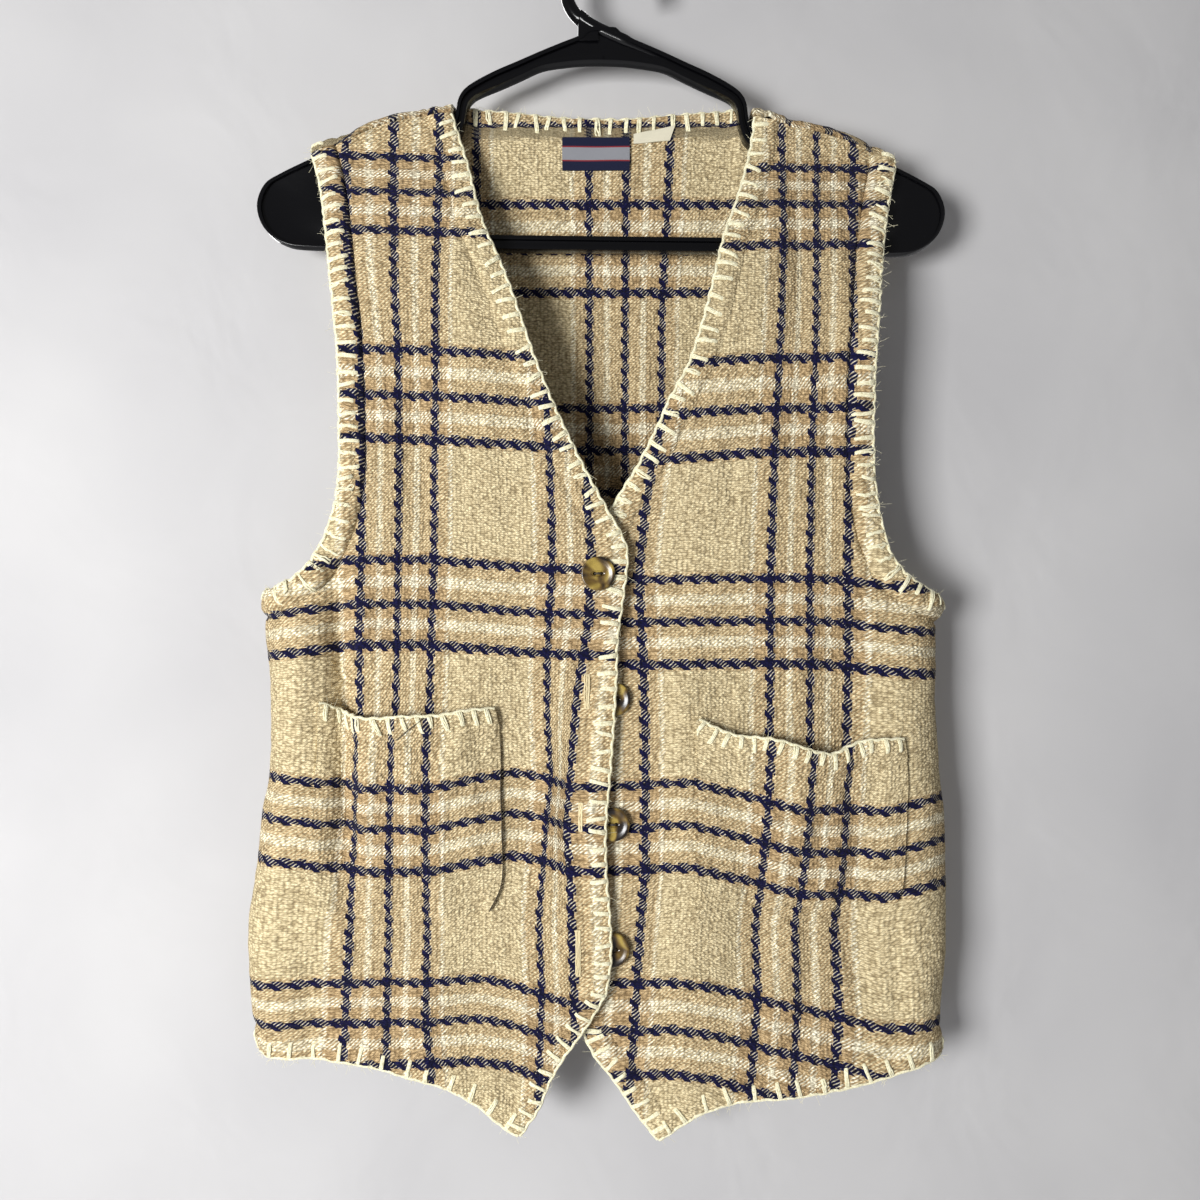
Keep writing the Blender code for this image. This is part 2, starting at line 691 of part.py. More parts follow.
def make_hook(look):
    """A moulded rod bent round the rail, from the hanger's neck to its free end"""
    middle = HOOK_INNER + HOOK_ROD / 2
    turns, corners = 18, 10
    stops = [(Vector((HOOK_FOOT[0], 0, HOOK_FOOT[1])), Vector((-1, 0, 0)), HOOK_ROD / 2)]
    for i in range(turns + 1):
        angle = HOOK_START + (HOOK_END - HOOK_START) * i / turns
        out = Vector((math.cos(angle), 0, math.sin(angle)))
        radius = HOOK_ROD / 2 * (0.72 if i == turns else 1.0)
        stops.append((out * middle - Vector((0, 0, HOOK_INNER)), out, radius))
    bm = bmesh.new()
    rings = []
    for centre, out, radius in stops:
        turned = [math.tau * k / corners for k in range(corners)]
        rings.append([bm.verts.new((centre + out * radius * math.cos(a)
                                    + Vector((0, radius * math.sin(a), 0))) * MM) for a in turned])
    for ring, following in zip(rings, rings[1:]):
        for k in range(corners):
            n = (k + 1) % corners
            bm.faces.new([ring[k], ring[n], following[n], following[k]])
    bm.faces.new(rings[0])
    bm.faces.new(rings[-1])
    finish("hanger_hook", bm, look)


def build():
    clear_scene()
    cloth = material("homespun_cotton", "#C8B48A", 0.9)
    tortoise = material("tortoise_resin", "#8A7430", 0.25)
    plastic = material("black_styrene", "#0C0C0E", 0.2)
    woven = material("woven_label", "#20244A", 0.7)
    tape = material("care_tape", "#E6E2D2", 0.8)
    make_back(cloth)
    front_right, front_left = make_fronts(cloth)
    pocket("pocket_right", POCKET_RIGHT_MOUTH, POCKET_RIGHT_OUTER, POCKET_RIGHT_INNER,
           POCKET_RIGHT_FOOT, front_right, cloth)
    pocket("pocket_left", POCKET_LEFT_MOUTH, POCKET_LEFT_OUTER, POCKET_LEFT_INNER,
           POCKET_LEFT_FOOT, front_left, cloth)
    for number, place in enumerate(BUTTONS, start=1):
        make_button(f"button_{number}", place, tortoise)
    label("neck_label", [(-26, -108), (17, -108), (17, -128.5), (-26, -128.5)], woven)
    label("care_label", [(19.5, -106), (46, -100.5), (42.5, -110), (19.5, -112)], tape)
    make_hanger(plastic)
    make_hook(plastic)


build()
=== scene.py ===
"""Looks of the checked button vest on its hanger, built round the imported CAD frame.

Sizes are in millimetres and become metres where a mesh is made. The vest's front faces
-Y, its wearer's left is at +X and the origin is the crown of the hook's inside.
"""

import math
import random
from collections import namedtuple

import bpy
import numpy as np
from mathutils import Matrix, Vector, noise
from mathutils.bvhtree import BVHTree


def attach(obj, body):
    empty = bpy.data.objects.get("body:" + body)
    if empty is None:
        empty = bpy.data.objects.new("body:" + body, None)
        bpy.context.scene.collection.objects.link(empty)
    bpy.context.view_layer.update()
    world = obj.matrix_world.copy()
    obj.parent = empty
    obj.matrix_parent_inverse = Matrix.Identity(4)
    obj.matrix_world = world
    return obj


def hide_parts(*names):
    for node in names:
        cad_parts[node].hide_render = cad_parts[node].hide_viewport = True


MM = 0.001

# Cloth, as in the frame
WALL = 2.0
SEAM_GAP = 0.3
BAND = 14.0
BAND_RISE = 0.9
FRONT_DEPTH = 22.0
BACK_DEPTH = 20.0
RIDGE_RADIUS = 6.0
NECK_STAND = 3.0
SHOULDER_FALL = 130.0
SIDE_ROUND = 26.0
NECK_X = 95.0
LAP_RISE = 3.5
UNDERLAP_SINK = 3.5
LAP_TOP = -290.0
LAP_CROSS = -340.0
LAP_REACH = 46.0
SHOULDER_END = 181.0
SHOULDER_KNOTS = (0, 2, 7, 14, 26, 47, 68, 86)
NECK_TURN = 0.024

# Buttons and pockets, as in the frame
Button = namedtuple("Button", "x z panel")
BUTTON_RADIUS = 10.2
BUTTON_THICK = 3.0
HOLE_RADIUS = 1.1
HOLE_PITCH = 4.2
BUTTON_ROOM = 0.5
FISH_EYE = (4.6, 0.9, 1.9)
BUTTONS = [
    Button(-3.0, -387.0, "over"),
    Button(6.5, -463.0, "under"),
    Button(6.0, -539.0, "under"),
    Button(6.0, -615.0, "under"),
]
POCKET_GAPE = 9.0
POCKET_CLEAR = 0.7

# The check: cloth lengths between the navy lines and between their groups
WARP_LINE_PITCH = 25.0
WARP_PERIOD = 122.0
WEFT_LINE_PITCH = 27.0
WEFT_PERIOD = 131.0
SIDE_TAKE = 0.78      # cloth per millimetre of front view, outside the outermost drawn line

# The crinkle's two waves: height, width, length and the noise's third place
CRINKLE = [(1.05, 11.0, 34.0, 0.3), (0.5, 4.5, 8.0, 4.1)]

# Squares of the meshes, down and across
GRID = 224
FRONT_COLUMNS = 88
BACK_COLUMNS = 124
POCKET_GRID = 52
LABEL_GRID = (12, 24)

# Sewing: the blanket stitch, the welts it holds down, the thread, and the labels
STITCH_PITCH = 9.8
HEM_PITCH = 14.5
STITCH_LEG = 11.0
LEG_STEPS = (0.06, 0.3, 0.55, 0.8, 1.0)
YARN_RADIUS = 0.6
CORD_RADIUS = 1.05
HAIR_RADIUS = 0.07
HAIRS_PER_POINT = 0.9
WELT_ARMHOLE = 2.3
WELT_FRONT = 0.7
WELT_HEM = 0.6
PUCKER_AT = 5.0
PUCKER_WIDTH = 6.0
GROOVE_WIDTH = 1.8
THREAD_RADIUS = 0.28
# Dark thread along the pocket's inner edge, a painted shadow of the gap there
EDGE_SHADOW_THREAD_RADIUS = 0.32
OVERCAST_RADIUS = 0.42
LABEL_THICK = 0.8
LABEL_CLEAR = 0.9
NAME_TAG = [(-26, -108), (17, -108), (17, -128.5), (-26, -128.5)]
CARE_TAG = [(19.5, -106), (46, -100.5), (42.5, -110), (19.5, -112)]
BUTTONHOLES = [(-9.8, -448.0, -468.0), (-13.4, -525.0, -542.0), (-15.2, -602.0, -629.0)]
LOOSE_END = [(-107.5, -472.5), (-108.5, -474.5), (-111, -477), (-116, -481), (-121.5, -485.5),
             (-123, -487)]

# Hanger, as in the frame, with the neck that runs on into the hook
HANGER_MIDDLE = 0.5
HANGER_TILT = math.radians(0.66)
FLANGE_WIDTH = 8.0
FLANGE_THICK = 2.6
WEB_THICK = 3.0
HOOK_INNER = 18.9
HOOK_ROD = 8.2
HOOK_START = math.radians(232.0)
HOOK_END = math.radians(-8.0)
BLOCK_PLACE = (-9.3, 0.0, -46.0)
BLOCK_SIZE = (13.0, 7.0, 12.5)
NECK_RUN = [(-15.0, -35.0), (-9.5, -39.6), (-2.0, -43.8), (6.0, -47.4), (20.0, -53.8), (40.0, -63.0)]

# Outlines of the pattern pieces in front view: x and z
RIDGE = [
    (-182, -119), (-166, -113), (-147, -104), (-127, -97), (-110, -95), (-94, -93.5),
    (94, -95.5), (108, -99.5), (126, -103), (143, -107), (157, -112.5), (169, -119),
    (182, -126),
]
ARMHOLE_RIGHT = [
    (-180, -127), (-175, -146), (-170, -176), (-166, -204), (-161, -245), (-159, -300),
    (-160, -334), (-166, -358), (-179, -382), (-196, -394), (-210.8, -398),
]
ARMHOLE_LEFT = [
    (181, -134), (177, -153), (173, -176), (169, -204), (164, -257), (163, -309),
    (165, -340), (172, -370), (182, -386), (196, -396), (210, -402),
]
SIDE_RIGHT = [
    (-210.8, -398), (-211, -420), (-208, -450), (-207, -487), (-208.5, -511), (-213, -535),
    (-216, -565), (-220.5, -600), (-221, -626), (-219.5, -648), (-216, -670), (-213.8, -681),
]
SIDE_LEFT = [
    (210, -402), (207, -420), (207.5, -448), (207, -465), (208, -488), (211, -519),
    (213.5, -550), (214, -597), (213.5, -625), (211, -648), (210.5, -665), (211, -682),
]
V_RIGHT = [
    (-91.5, -112), (-85, -132), (-75, -170), (-60, -205), (-42, -256),
    (-32, -281), (-21, -305), (-11, -325), (2, -349), (10, -363), (14, -376),
    (11.5, -400), (8, -425), (7, -455), (4, -502), (1, -535), (1, -565),
    (3, -590), (4, -618), (1, -640),
]
POINT_RIGHT = [(1, -640), (-9, -657), (-25, -680), (-33, -694), (-40, -711), (-51, -727.5)]
V_LEFT = [
    (93.5, -116), (89, -136), (82, -160), (75, -179), (65, -219),
    (54, -256), (41, -281), (33, -299), (23, -319), (13, -335), (4, -350),
    (-7, -368), (-12, -388), (-14, -433), (-14, -525), (-13.5, -600), (-12, -666),
]
POINT_LEFT = [(-12, -666), (-5, -680), (4, -691), (12, -702), (20, -714), (34, -731)]
HEM_RIGHT = [
    (-213.8, -681), (-182, -680.5), (-162, -682), (-137, -686), (-117, -692), (-99, -697),
    (-86, -703), (-73, -711), (-63, -720), (-51, -727.5),
]
HEM_LEFT = [
    (211, -682), (198, -684), (183, -688), (165, -694), (140, -700), (109, -704.5),
    (84, -706.5), (70, -710), (55, -716), (34, -731),
]
NECK_BACK = [
    (-86, -90), (-58, -92), (-29, -95), (-7, -96), (15, -96), (45, -93.5), (86, -90.5),
]
POCKET_RIGHT_MOUTH = [(-173, -465), (-160, -471), (-142, -474), (-121, -473), (-98, -472),
                      (-81, -469.5), (-66, -469)]
POCKET_RIGHT_INNER = [(-66, -469), (-62.5, -489), (-62.5, -517), (-61.5, -552), (-62, -575),
                      (-69, -591)]
POCKET_RIGHT_OUTER = [(-173, -465), (-174, -500), (-177, -540), (-180, -575), (-175, -590)]
POCKET_RIGHT_FOOT = [(-175, -590), (-150, -593), (-121, -594), (-95, -594), (-69, -591)]
POCKET_LEFT_MOUTH = [(57, -475), (71, -481.5), (82, -485), (100, -486), (115, -490),
                     (126, -493.5), (137, -495.5), (147, -491.5), (159, -488), (181, -487)]
POCKET_LEFT_INNER = [(57, -475), (57, -510), (57, -545), (57.5, -573), (63, -583)]
POCKET_LEFT_OUTER = [(181, -487), (183.5, -510), (182.5, -545), (180, -578), (174, -588)]
POCKET_LEFT_FOOT = [(63, -583), (90, -586), (120, -589), (150, -590), (174, -588)]

# Folds: a trough goes into the body and a ridge stands out. The last rows of each table are
# creases too fine for the frame.
Fold = namedtuple("Fold", "x_top z_top x_foot z_foot width rise")
FRONT_FOLDS = [Fold(*row) for row in (
    (-164, -385, -152, -610, 14.0, -5.5), (-190, -390, -194, -610, 14.0, 1.5),
    (-113, -240, -112, -400, 11.0, -2.5), (-96, -110, -70, -330, 12.0, 2.0),
    (-40, -380, -58, -640, 20.0, -3.0), (-105, -600, -110, -700, 14.0, 3.5),
    (-178, -600, -176, -700, 13.0, -3.5), (123, -112, 120, -260, 10.0, -3.0),
    (146, -130, 150, -330, 10.0, 2.0), (152, -360, 150, -720, 17.0, -4.5),
    (48, -380, 54, -720, 12.0, 3.5), (88, -420, 92, -720, 14.0, -2.5),
    (190, -420, 188, -690, 13.0, 1.5), (-164, -345, -156, -610, 7.5, -8.5),
    (-147, -360, -142, -610, 5.5, 2.4), (-176, -398, -186, -470, 6.0, 1.6),
    (-150, -240, -152, -380, 3.5, -0.9), (-118, -290, -121, -350, 3.0, -0.9),
    (-110, -270, -108, -395, 3.5, -1.0), (-84, -150, -66, -260, 3.5, -0.8),
    (-60, -260, -28, -330, 4.5, -0.9), (-20, -480, -30, -640, 5.0, -1.3),
    (-75, -600, -84, -700, 4.0, -1.0), (-136, -600, -140, -690, 4.5, 1.1),
    (119, -130, 120, -330, 3.5, -1.0), (137, -200, 133, -380, 3.5, -0.9),
    (155, -150, 154, -320, 4.0, -0.9), (82, -230, 76, -380, 4.0, -0.8),
    (128, -560, 121, -690, 6.0, -1.5), (143, -590, 150, -700, 5.0, 1.3),
    (100, -600, 104, -700, 5.0, 1.2), (40, -500, 62, -700, 6.0, -1.3),
    (182, -560, 176, -690, 5.0, -1.2),
)]
BACK_FOLDS = [Fold(*row) for row in (
    (-120, -180, -112, -660, 18.0, -3.5), (-60, -300, -66, -690, 14.0, 2.5),
    (4, -130, 8, -560, 20.0, 2.0), (78, -260, 84, -690, 15.0, -3.0),
    (140, -150, 132, -640, 16.0, 3.0), (-150, -200, -156, -400, 5.0, -1.0),
    (-30, -300, -24, -480, 5.0, -1.0), (36, -180, 30, -420, 5.0, 0.9),
    (108, -300, 102, -560, 5.0, 1.0), (165, -300, 168, -600, 5.0, -1.0),
    (-90, -480, -96, -680, 5.0, -1.1), (20, -520, 26, -690, 5.0, -1.0),
)]

# Half of the hanger, from the neck over the arm and lobe to the middle of the bar:
# distance from the middle and height of its outer edge and of its opening's edge
Station = namedtuple("Station", "outer_x outer_z inner_x inner_z")
HANGER_HALF = [Station(*row) for row in (
    (8, -44, 0, -64.5), (14, -49, 12, -64.8), (26, -54, 24, -66), (39, -59.5, 38, -68.5),
    (53, -65.8, 50, -74), (67, -72, 63, -80), (80, -79, 76, -85.5), (87, -84.5, 81.5, -89),
    (90.4, -91, 84.6, -94), (92, -101, 86.6, -105), (96, -109, 91, -115), (103, -111, 102, -119.5),
    (111, -109, 113, -118), (119, -106.5, 122, -118), (130, -107.5, 131, -124),
    (147, -113.5, 143, -132), (166, -121, 153, -140), (182, -128.5, 160, -147),
    (201, -138, 165, -154), (211, -145, 167.5, -160), (215.5, -158, 168, -166),
    (211, -172, 165, -171), (199, -181, 158, -174.5), (180, -183.5, 145, -175),
    (120, -183.5, 115, -175), (60, -183.5, 58, -175), (0, -183.5, 0, -175),
)]

# Navy warp lines in front view: place in the cloth, then z and x down the line
WARP_RIGHT = [
    (0, [(-130, -161), (-190, -157), (-245, -147.6), (-315, -145.7), (-430, -147.6),
         (-470, -147.6), (-542, -150.6), (-606, -154), (-661, -156.7), (-690, -158.5)]),
    (25, [(-130, -130.6), (-190, -128), (-251, -124.5), (-378, -124.5), (-429, -125),
          (-495, -126.3), (-541, -128.7), (-606, -130), (-690, -132)]),
    (50, [(-130, -102), (-251, -102), (-378, -103.3), (-429, -105), (-516, -107),
          (-596, -107), (-656, -107.5), (-700, -103.5)]),
    (122, [(-281, -35.3), (-309, -33), (-351, -31), (-383, -31), (-435, -34), (-470, -33.5),
           (-508, -31), (-564, -36), (-595, -39), (-640, -37), (-700, -39)]),
    (147, [(-341, -10.4), (-371, -8), (-413, -9.2), (-459, -16.5), (-490, -19.5),
           (-542, -23.7), (-569, -20.7), (-646, -18.3)]),
]
WARP_LEFT = [
    (50, [(-251, 39.4), (-298, 35), (-323, 29), (-351, 24.8), (-390, 21.2), (-415, 23),
          (-476, 25.4), (-568, 25.4), (-621, 21.2), (-664, 18.7), (-700, 15.5)]),
    (122, [(-129, 111), (-180, 110.4), (-254, 106.7), (-309, 103.7), (-389, 101.3),
           (-485, 100.7), (-549, 97.6), (-603, 92.2), (-644, 94), (-700, 88.6)]),
    (147, [(-118, 132.8), (-185, 131), (-256, 128.6), (-311, 126.2), (-389, 125),
           (-489, 125.5), (-530, 123), (-579, 119.5), (-598, 115.8), (-650, 117.7),
           (-700, 114.3)]),
    (172, [(-128, 154.7), (-186, 152.3), (-256, 149.2), (-314, 148), (-390, 147.4),
           (-443, 148.6), (-509, 146.8), (-581, 143), (-601, 139.5), (-655, 142.5),
           (-700, 138.6)]),
]
WARP_BACK = [
    (0, [(-100, -9.5), (-280, -9)]),
    (25, [(-100, 14.6), (-280, 14.2)]),
    (50, [(-100, 43), (-140, 41.5), (-210, 38), (-280, 37.5)]),
]

# Navy weft lines: heights at one place, three to a group, and each group's sag along x
WEFT_RIGHT = [(-128.5, -151, -177), (-251, -278.5, -305), (-378, -405, -429.5),
              (-515.7, -540, -566), (-633, -657, -682.6)]
SAG_RIGHT = [
    [(-190, 4), (-105, 0), (-60, -4)],
    [(-160, 1), (-105, 0), (-33, -4.8)],
    [(-212, -8), (-204, -7), (-150, 0), (-105, 0), (-36, -5.5), (-10, -6)],
    [(-212, 5.2), (-190, 4), (-152, 0), (-105, 0), (-80, 5), (-55, 8), (-33, 5), (-20, 0)],
    [(-212, -5), (-152, -2), (-105, 0), (-73, 0.5), (-55, -3), (-36, -9), (-15, -14)],
]
WEFT_LEFT = [(-134.6, -157.6, -185), (-254.7, -285.7, -312.4), (-389.4, -415, -441),
             (-529, -554.5, -580.6), (-656, -685, -712)]
SAG_LEFT = [
    [(60, -3), (110, 0), (170, 0)],
    [(25, -5.5), (90, -1), (150, 0), (170, 1)],
    [(25, -1), (80, 0), (130, 0), (183, -5.5), (200, -7)],
    [(25, 13), (37, 15.3), (54, 16.4), (97, 6), (120, 0.5), (150, 0), (168, -1.5), (200, 5)],
    [(25, 20), (45, 22), (66, 19), (80, 15), (95, 11), (120, 5.5), (142, 0), (170, -7),
     (200, -6)],
]
WEFT_BACK = [(54, -100.5), (90, -108), (131, -148.3), (158, -176.3), (185, -203),
             (262, -277.8), (289, -305), (316, -332.5)]


def linear(channel):
    """One sRGB channel from 0 to 1 as linear light"""
    return channel / 12.92 if channel <= 0.04045 else ((channel + 0.055) / 1.055) ** 2.4


def colour(hex_colour):
    return tuple(linear(int(hex_colour[i:i + 2], 16) / 255) for i in (1, 3, 5)) + (1.0,)


def ease(t):
    """A smooth step from 0 to 1"""
    t = np.clip(t, 0.0, 1.0)
    return t * t * (3 - 2 * t)


def reaches(points):
    """How far along a run of points each one lies"""
    return np.concatenate([[0.0], np.cumsum(np.linalg.norm(np.diff(points, axis=0), axis=1))])


def smooth(points, steps=6):
    """A Catmull-Rom curve through the given points"""
    points = [Vector(p) for p in points]
    if len(points) == 2:
        return [points[0].lerp(points[1], i / steps) for i in range(steps + 1)]
    ends = [points[0] * 2 - points[1], *points, points[-1] * 2 - points[-2]]
    line = [points[0]]
    for a, b, c, d in zip(ends, ends[1:], ends[2:], ends[3:]):
        for i in range(1, steps + 1):
            t = i / steps
            bend = (2 * a - 5 * b + 4 * c - d) * t * t + (3 * b - a - 3 * c + d) * t ** 3
            line.append(0.5 * (2 * b + (c - a) * t + bend))
    return line


class Line:
    """An edge of one or more smooth runs, read by the share of its length"""

    def __init__(self, *runs):
        points = []
        for run in runs:
            curve = smooth(run)
            points += curve[1:] if points else curve
        self.points = np.array([tuple(p) for p in points])
        self.reach = reaches(self.points)
        self.length = self.reach[-1]

    def at(self, share):
        target = np.clip(share, 0.0, 1.0) * self.length
        return np.array([np.interp(target, self.reach, self.points[:, k]) for k in (0, 1)])


def reader(table):
    """The second column of a table as a smooth function of its first"""
    curve = sorted((tuple(p) for p in smooth(table)), key=lambda p: p[0])
    firsts = [p[0] for p in curve]
    seconds = [p[1] for p in curve]
    return lambda value: np.interp(value, firsts, seconds)


ridge = reader(RIDGE)
side_right = reader([(z, x) for x, z in SIDE_RIGHT])
side_left = reader([(z, x) for x, z in SIDE_LEFT])


def spring(x):
    """Height at which the cloth leaves the bend over the hanger's arm"""
    return ridge(x) - RIDGE_RADIUS


def seam_height(x):
    """Height of the shoulder seam, straight between its knots"""
    side = -1 if x < 0 else 1
    knots = [spring(side * (SHOULDER_END - k)) for k in SHOULDER_KNOTS]
    return float(np.interp(SHOULDER_END - abs(x), SHOULDER_KNOTS, knots))


def side_fade(x, z):
    """0 on the side fold and 1 where the panel has its full depth"""
    inset = np.where(x < 0, x - side_right(z), side_left(z) - x)
    t = np.clip(inset / SIDE_ROUND, 0.0, 1.0)
    return np.sqrt(1 - (1 - t) ** 2)


def fold_rise(folds, x, z):
    """How far the folds lift the cloth out at a place"""
    rise = 0.0
    for f in folds:
        run_x, run_z = f.x_foot - f.x_top, f.z_foot - f.z_top
        square = run_x ** 2 + run_z ** 2
        along = ((x - f.x_top) * run_x + (z - f.z_top) * run_z) / square
        across = ((x - f.x_top) * run_z - (z - f.z_top) * run_x) / math.sqrt(square)
        ends = ease(3 * along) * ease(3 - 3 * along)
        rise = rise + f.rise * ends * np.exp(-(across / f.width) ** 2)
    return rise


def front_y(x, z, lap):
    """Depth of a front; lap is 1 on the lapping front and -1 on the one beneath"""
    full = ease((spring(x) - z) / SHOULDER_FALL)
    folds = fold_rise(FRONT_FOLDS, x, z)
    depth = RIDGE_RADIUS + (FRONT_DEPTH - RIDGE_RADIUS) * full + full * folds
    parting = ease((LAP_TOP - z) / (LAP_TOP - LAP_CROSS)) * ease(1 - (np.abs(x) - 14) / LAP_REACH)
    depth = depth + parting * (LAP_RISE if lap > 0 else -UNDERLAP_SINK)
    edge = SEAM_GAP / 2
    return -(edge + (depth - edge) * side_fade(x, z))


def back_y(x, z):
    """Depth of the back, which stands off the hanger at the neck"""
    neck = ease((NECK_X - 4 - np.abs(x)) / 12)
    top = RIDGE_RADIUS + NECK_STAND * neck
    full = ease((spring(x) - z) / SHOULDER_FALL)
    depth = top + (BACK_DEPTH - top) * full + full * fold_rise(BACK_FOLDS, x, z)
    edge = SEAM_GAP / 2
    return edge + (depth - edge) * side_fade(x, z)


def laid_front(lap):
    return lambda x, z: np.stack([x, front_y(x, z, lap), z], axis=-1)


def laid_back(x, z):
    """The back's cut laid over the ridge: what reaches above the spring bends forward"""
    rise = spring(x)
    straight = np.stack([x, back_y(x, z), z], axis=-1)
    turn = np.maximum(z - rise, 0) / RIDGE_RADIUS
    bent = np.stack([x, RIDGE_RADIUS * np.cos(turn), rise + RIDGE_RADIUS * np.sin(turn)], axis=-1)
    share = ease((np.abs(x) - (NECK_X - 4)) / 2.5) * (z > rise)
    return straight + (bent - straight) * share[..., None]


def spanned(top, foot, left, right, columns, rows):
    """The flat sheet spanned by four edges, as arrays of x and z"""
    u = np.array(columns)[None, :, None]
    v = np.array(rows)[:, None, None]
    across = np.array([left(t) for t in rows])[:, None] * (1 - u)
    across = across + np.array([right(t) for t in rows])[:, None] * u
    down = np.array([top(t) for t in columns])[None] * (1 - v)
    down = down + np.array([foot(t) for t in columns])[None] * v
    corners = (top(0) * (1 - u) + top(1) * u) * (1 - v) + (foot(0) * (1 - u) + foot(1) * u) * v
    sheet = across + down - corners
    return sheet[..., 0], sheet[..., 1]


def spaced(count, crowding=0.0):
    """Shares from 0 to 1, closer together near both ends"""
    t = np.linspace(0, 1, count + 1)
    return t + ((0.5 - 0.5 * np.cos(np.pi * t)) - t) * crowding


def shoulder_seam(side, shift):
    def at(u):
        x = side * (SHOULDER_END + (NECK_X - SHOULDER_END) * u)
        return np.array([x, seam_height(x) + shift])
    return at


def side_edge(armhole, seam):
    return lambda v: armhole.at(2 * v) if v < 0.5 else seam.at(2 * v - 1)


def groups(heights, sags):
    """Place in the cloth, height and sag of each navy weft line"""
    return [(number * WEFT_PERIOD + k * WEFT_LINE_PITCH, height, sags[number])
            for number, group in enumerate(heights) for k, height in enumerate(group)]


def read_off(values, lines, places, take):
    """Each value's place among its own row of drawn lines, and at a fixed rate beyond them"""
    out = np.empty(len(values))
    for i, (value, row) in enumerate(zip(values, lines)):
        if value <= row[0]:
            out[i] = places[0] + (value - row[0]) * take
        elif value >= row[-1]:
            out[i] = places[-1] + (value - row[-1]) * take
        else:
            out[i] = np.interp(value, row, places)
    return out


def check_place(x, z, warps, wefts, take=1.0):
    """Where a point of the hung cloth lies in the flat check, in millimetres"""
    warp_lines = [np.interp(-z, [-p[0] for p in line], [p[1] for p in line]) for _, line in warps]
    weft_lines = []
    for _, height, sag in wefts:
        shift = np.interp(x, [p[0] for p in sag], [p[1] for p in sag]) if sag else 0 * x
        weft_lines.append(-height - shift)
    warp_lines = np.stack(warp_lines, axis=-1).reshape(-1, len(warps))
    weft_lines = np.stack(weft_lines, axis=-1).reshape(-1, len(wefts))
    across = read_off(x.ravel(), warp_lines, [warp[0] for warp in warps], take)
    down = read_off(-z.ravel(), weft_lines, [weft[0] for weft in wefts], 1.0)
    return across.reshape(x.shape), down.reshape(z.shape)


def round_side(along, x, z, points):
    """Adds the length that the rounded sides take up, which the front view hides"""
    steps = np.linalg.norm(np.diff(points[..., :2], axis=1), axis=-1) - np.abs(np.diff(x, axis=1))
    steps = steps * (side_fade(x, z)[:, 1:] < 0.999)
    taken = np.concatenate([np.zeros_like(x[:, :1]), np.cumsum(steps, axis=1)], axis=1)
    taken = taken - taken[:, x.shape[1] // 2, None]
    return along + taken * np.sign(x[:, -1:] - x[:, :1])


class Cloth:
    """A laid panel: its middle surface as a grid of points, ready to be given a wall"""

    def __init__(self, name, points, outward):
        self.name, self.points, self.outward = name, points, outward
        rows, columns = points.shape[:2]
        corner = np.arange((rows - 1) * columns).reshape(rows - 1, columns)[:, :-1].ravel()
        quads = np.stack([corner, corner + columns, corner + columns + 1, corner + 1], axis=1)
        flat = [Vector(p) for p in points.reshape(-1, 3)]
        self.tree = BVHTree.FromPolygons(flat, quads.tolist())
        normal = self.tree.find_nearest(flat[rows // 2 * columns + columns // 2])[1]
        self.sign = 1 if normal.y * outward > 0 else -1

    def skin(self, spot, face, lift):
        """The point on one face of the wall nearest to a spot; face is 1 outside, -1 inside"""
        place, normal, _, _ = self.tree.find_nearest(spot)
        return place + normal * (self.sign * face * lift)

    def frame(self, spot, ahead):
        """Outward normal and the direction into the cloth at a spot on its edge"""
        _, normal, _, _ = self.tree.find_nearest(spot)
        normal = normal * self.sign
        inward = normal.cross(ahead).normalized()
        inner = (self.tree.find_nearest(spot + inward * 4)[0] - spot).length
        outer = (self.tree.find_nearest(spot - inward * 4)[0] - spot).length
        return normal, inward if inner > outer else -inward


def edge_inset(x, z, edges):
    """Each point's distance to the nearest edge, its place along it, and that edge's welt"""
    near = np.full(x.shape, 1e9)
    along = np.zeros(x.shape)
    welt = np.zeros(x.shape)
    for run, height in edges:
        for p, s in zip(run, reaches(run)):
            d = np.hypot(x - p[0], z - p[1])
            along = np.where(d < near, s, along)
            welt = np.where(d < near, height, welt)
            near = np.minimum(near, d)
    return near, along, welt


def crinkled(points, outward, x, z, inset, along, welt):
    """The woven cloth's own unevenness, its rolled welts, and the pucker at each stitch"""
    waves = [sum(height * noise.noise(Vector((a / wide, b / long, seed)))
                 for height, wide, long, seed in CRINKLE) for a, b in zip(x.flat, z.flat)]
    rise = np.array(waves).reshape(x.shape) * ease(inset / 3)
    pucker = (0.2 + 0.3 * welt) * np.cos(2 * np.pi * along / STITCH_PITCH)
    pucker = pucker * np.exp(-((inset - PUCKER_AT) / PUCKER_WIDTH) ** 2)
    groove = -(0.2 + 0.75 * welt) * np.exp(-((inset - BAND - 0.5) / GROOVE_WIDTH) ** 2)
    roll = welt * np.sin(np.pi * np.clip(inset / BAND, 0, 1)) ** 0.7
    return points + grid_normals(points, outward) * (rise + pucker + groove + roll)[..., None]


def grid_normals(points, outward):
    """Unit normals of a grid of points, towards the outside of the vest"""
    down = np.gradient(points, axis=0)
    across = np.gradient(points, axis=1)
    normals = np.cross(across, down)
    normals /= np.maximum(np.linalg.norm(normals, axis=-1, keepdims=True), 1e-9)
    middle = normals[points.shape[0] // 2, points.shape[1] // 2]
    return normals if middle[1] * outward > 0 else -normals


def coated(made, angle, look):
    """Shades a piece smooth up to an angle and gives it one material"""
    bpy.ops.object.shade_smooth_by_angle(angle=math.radians(angle))
    made.data.materials.clear()
    made.data.materials.append(look)
    return made


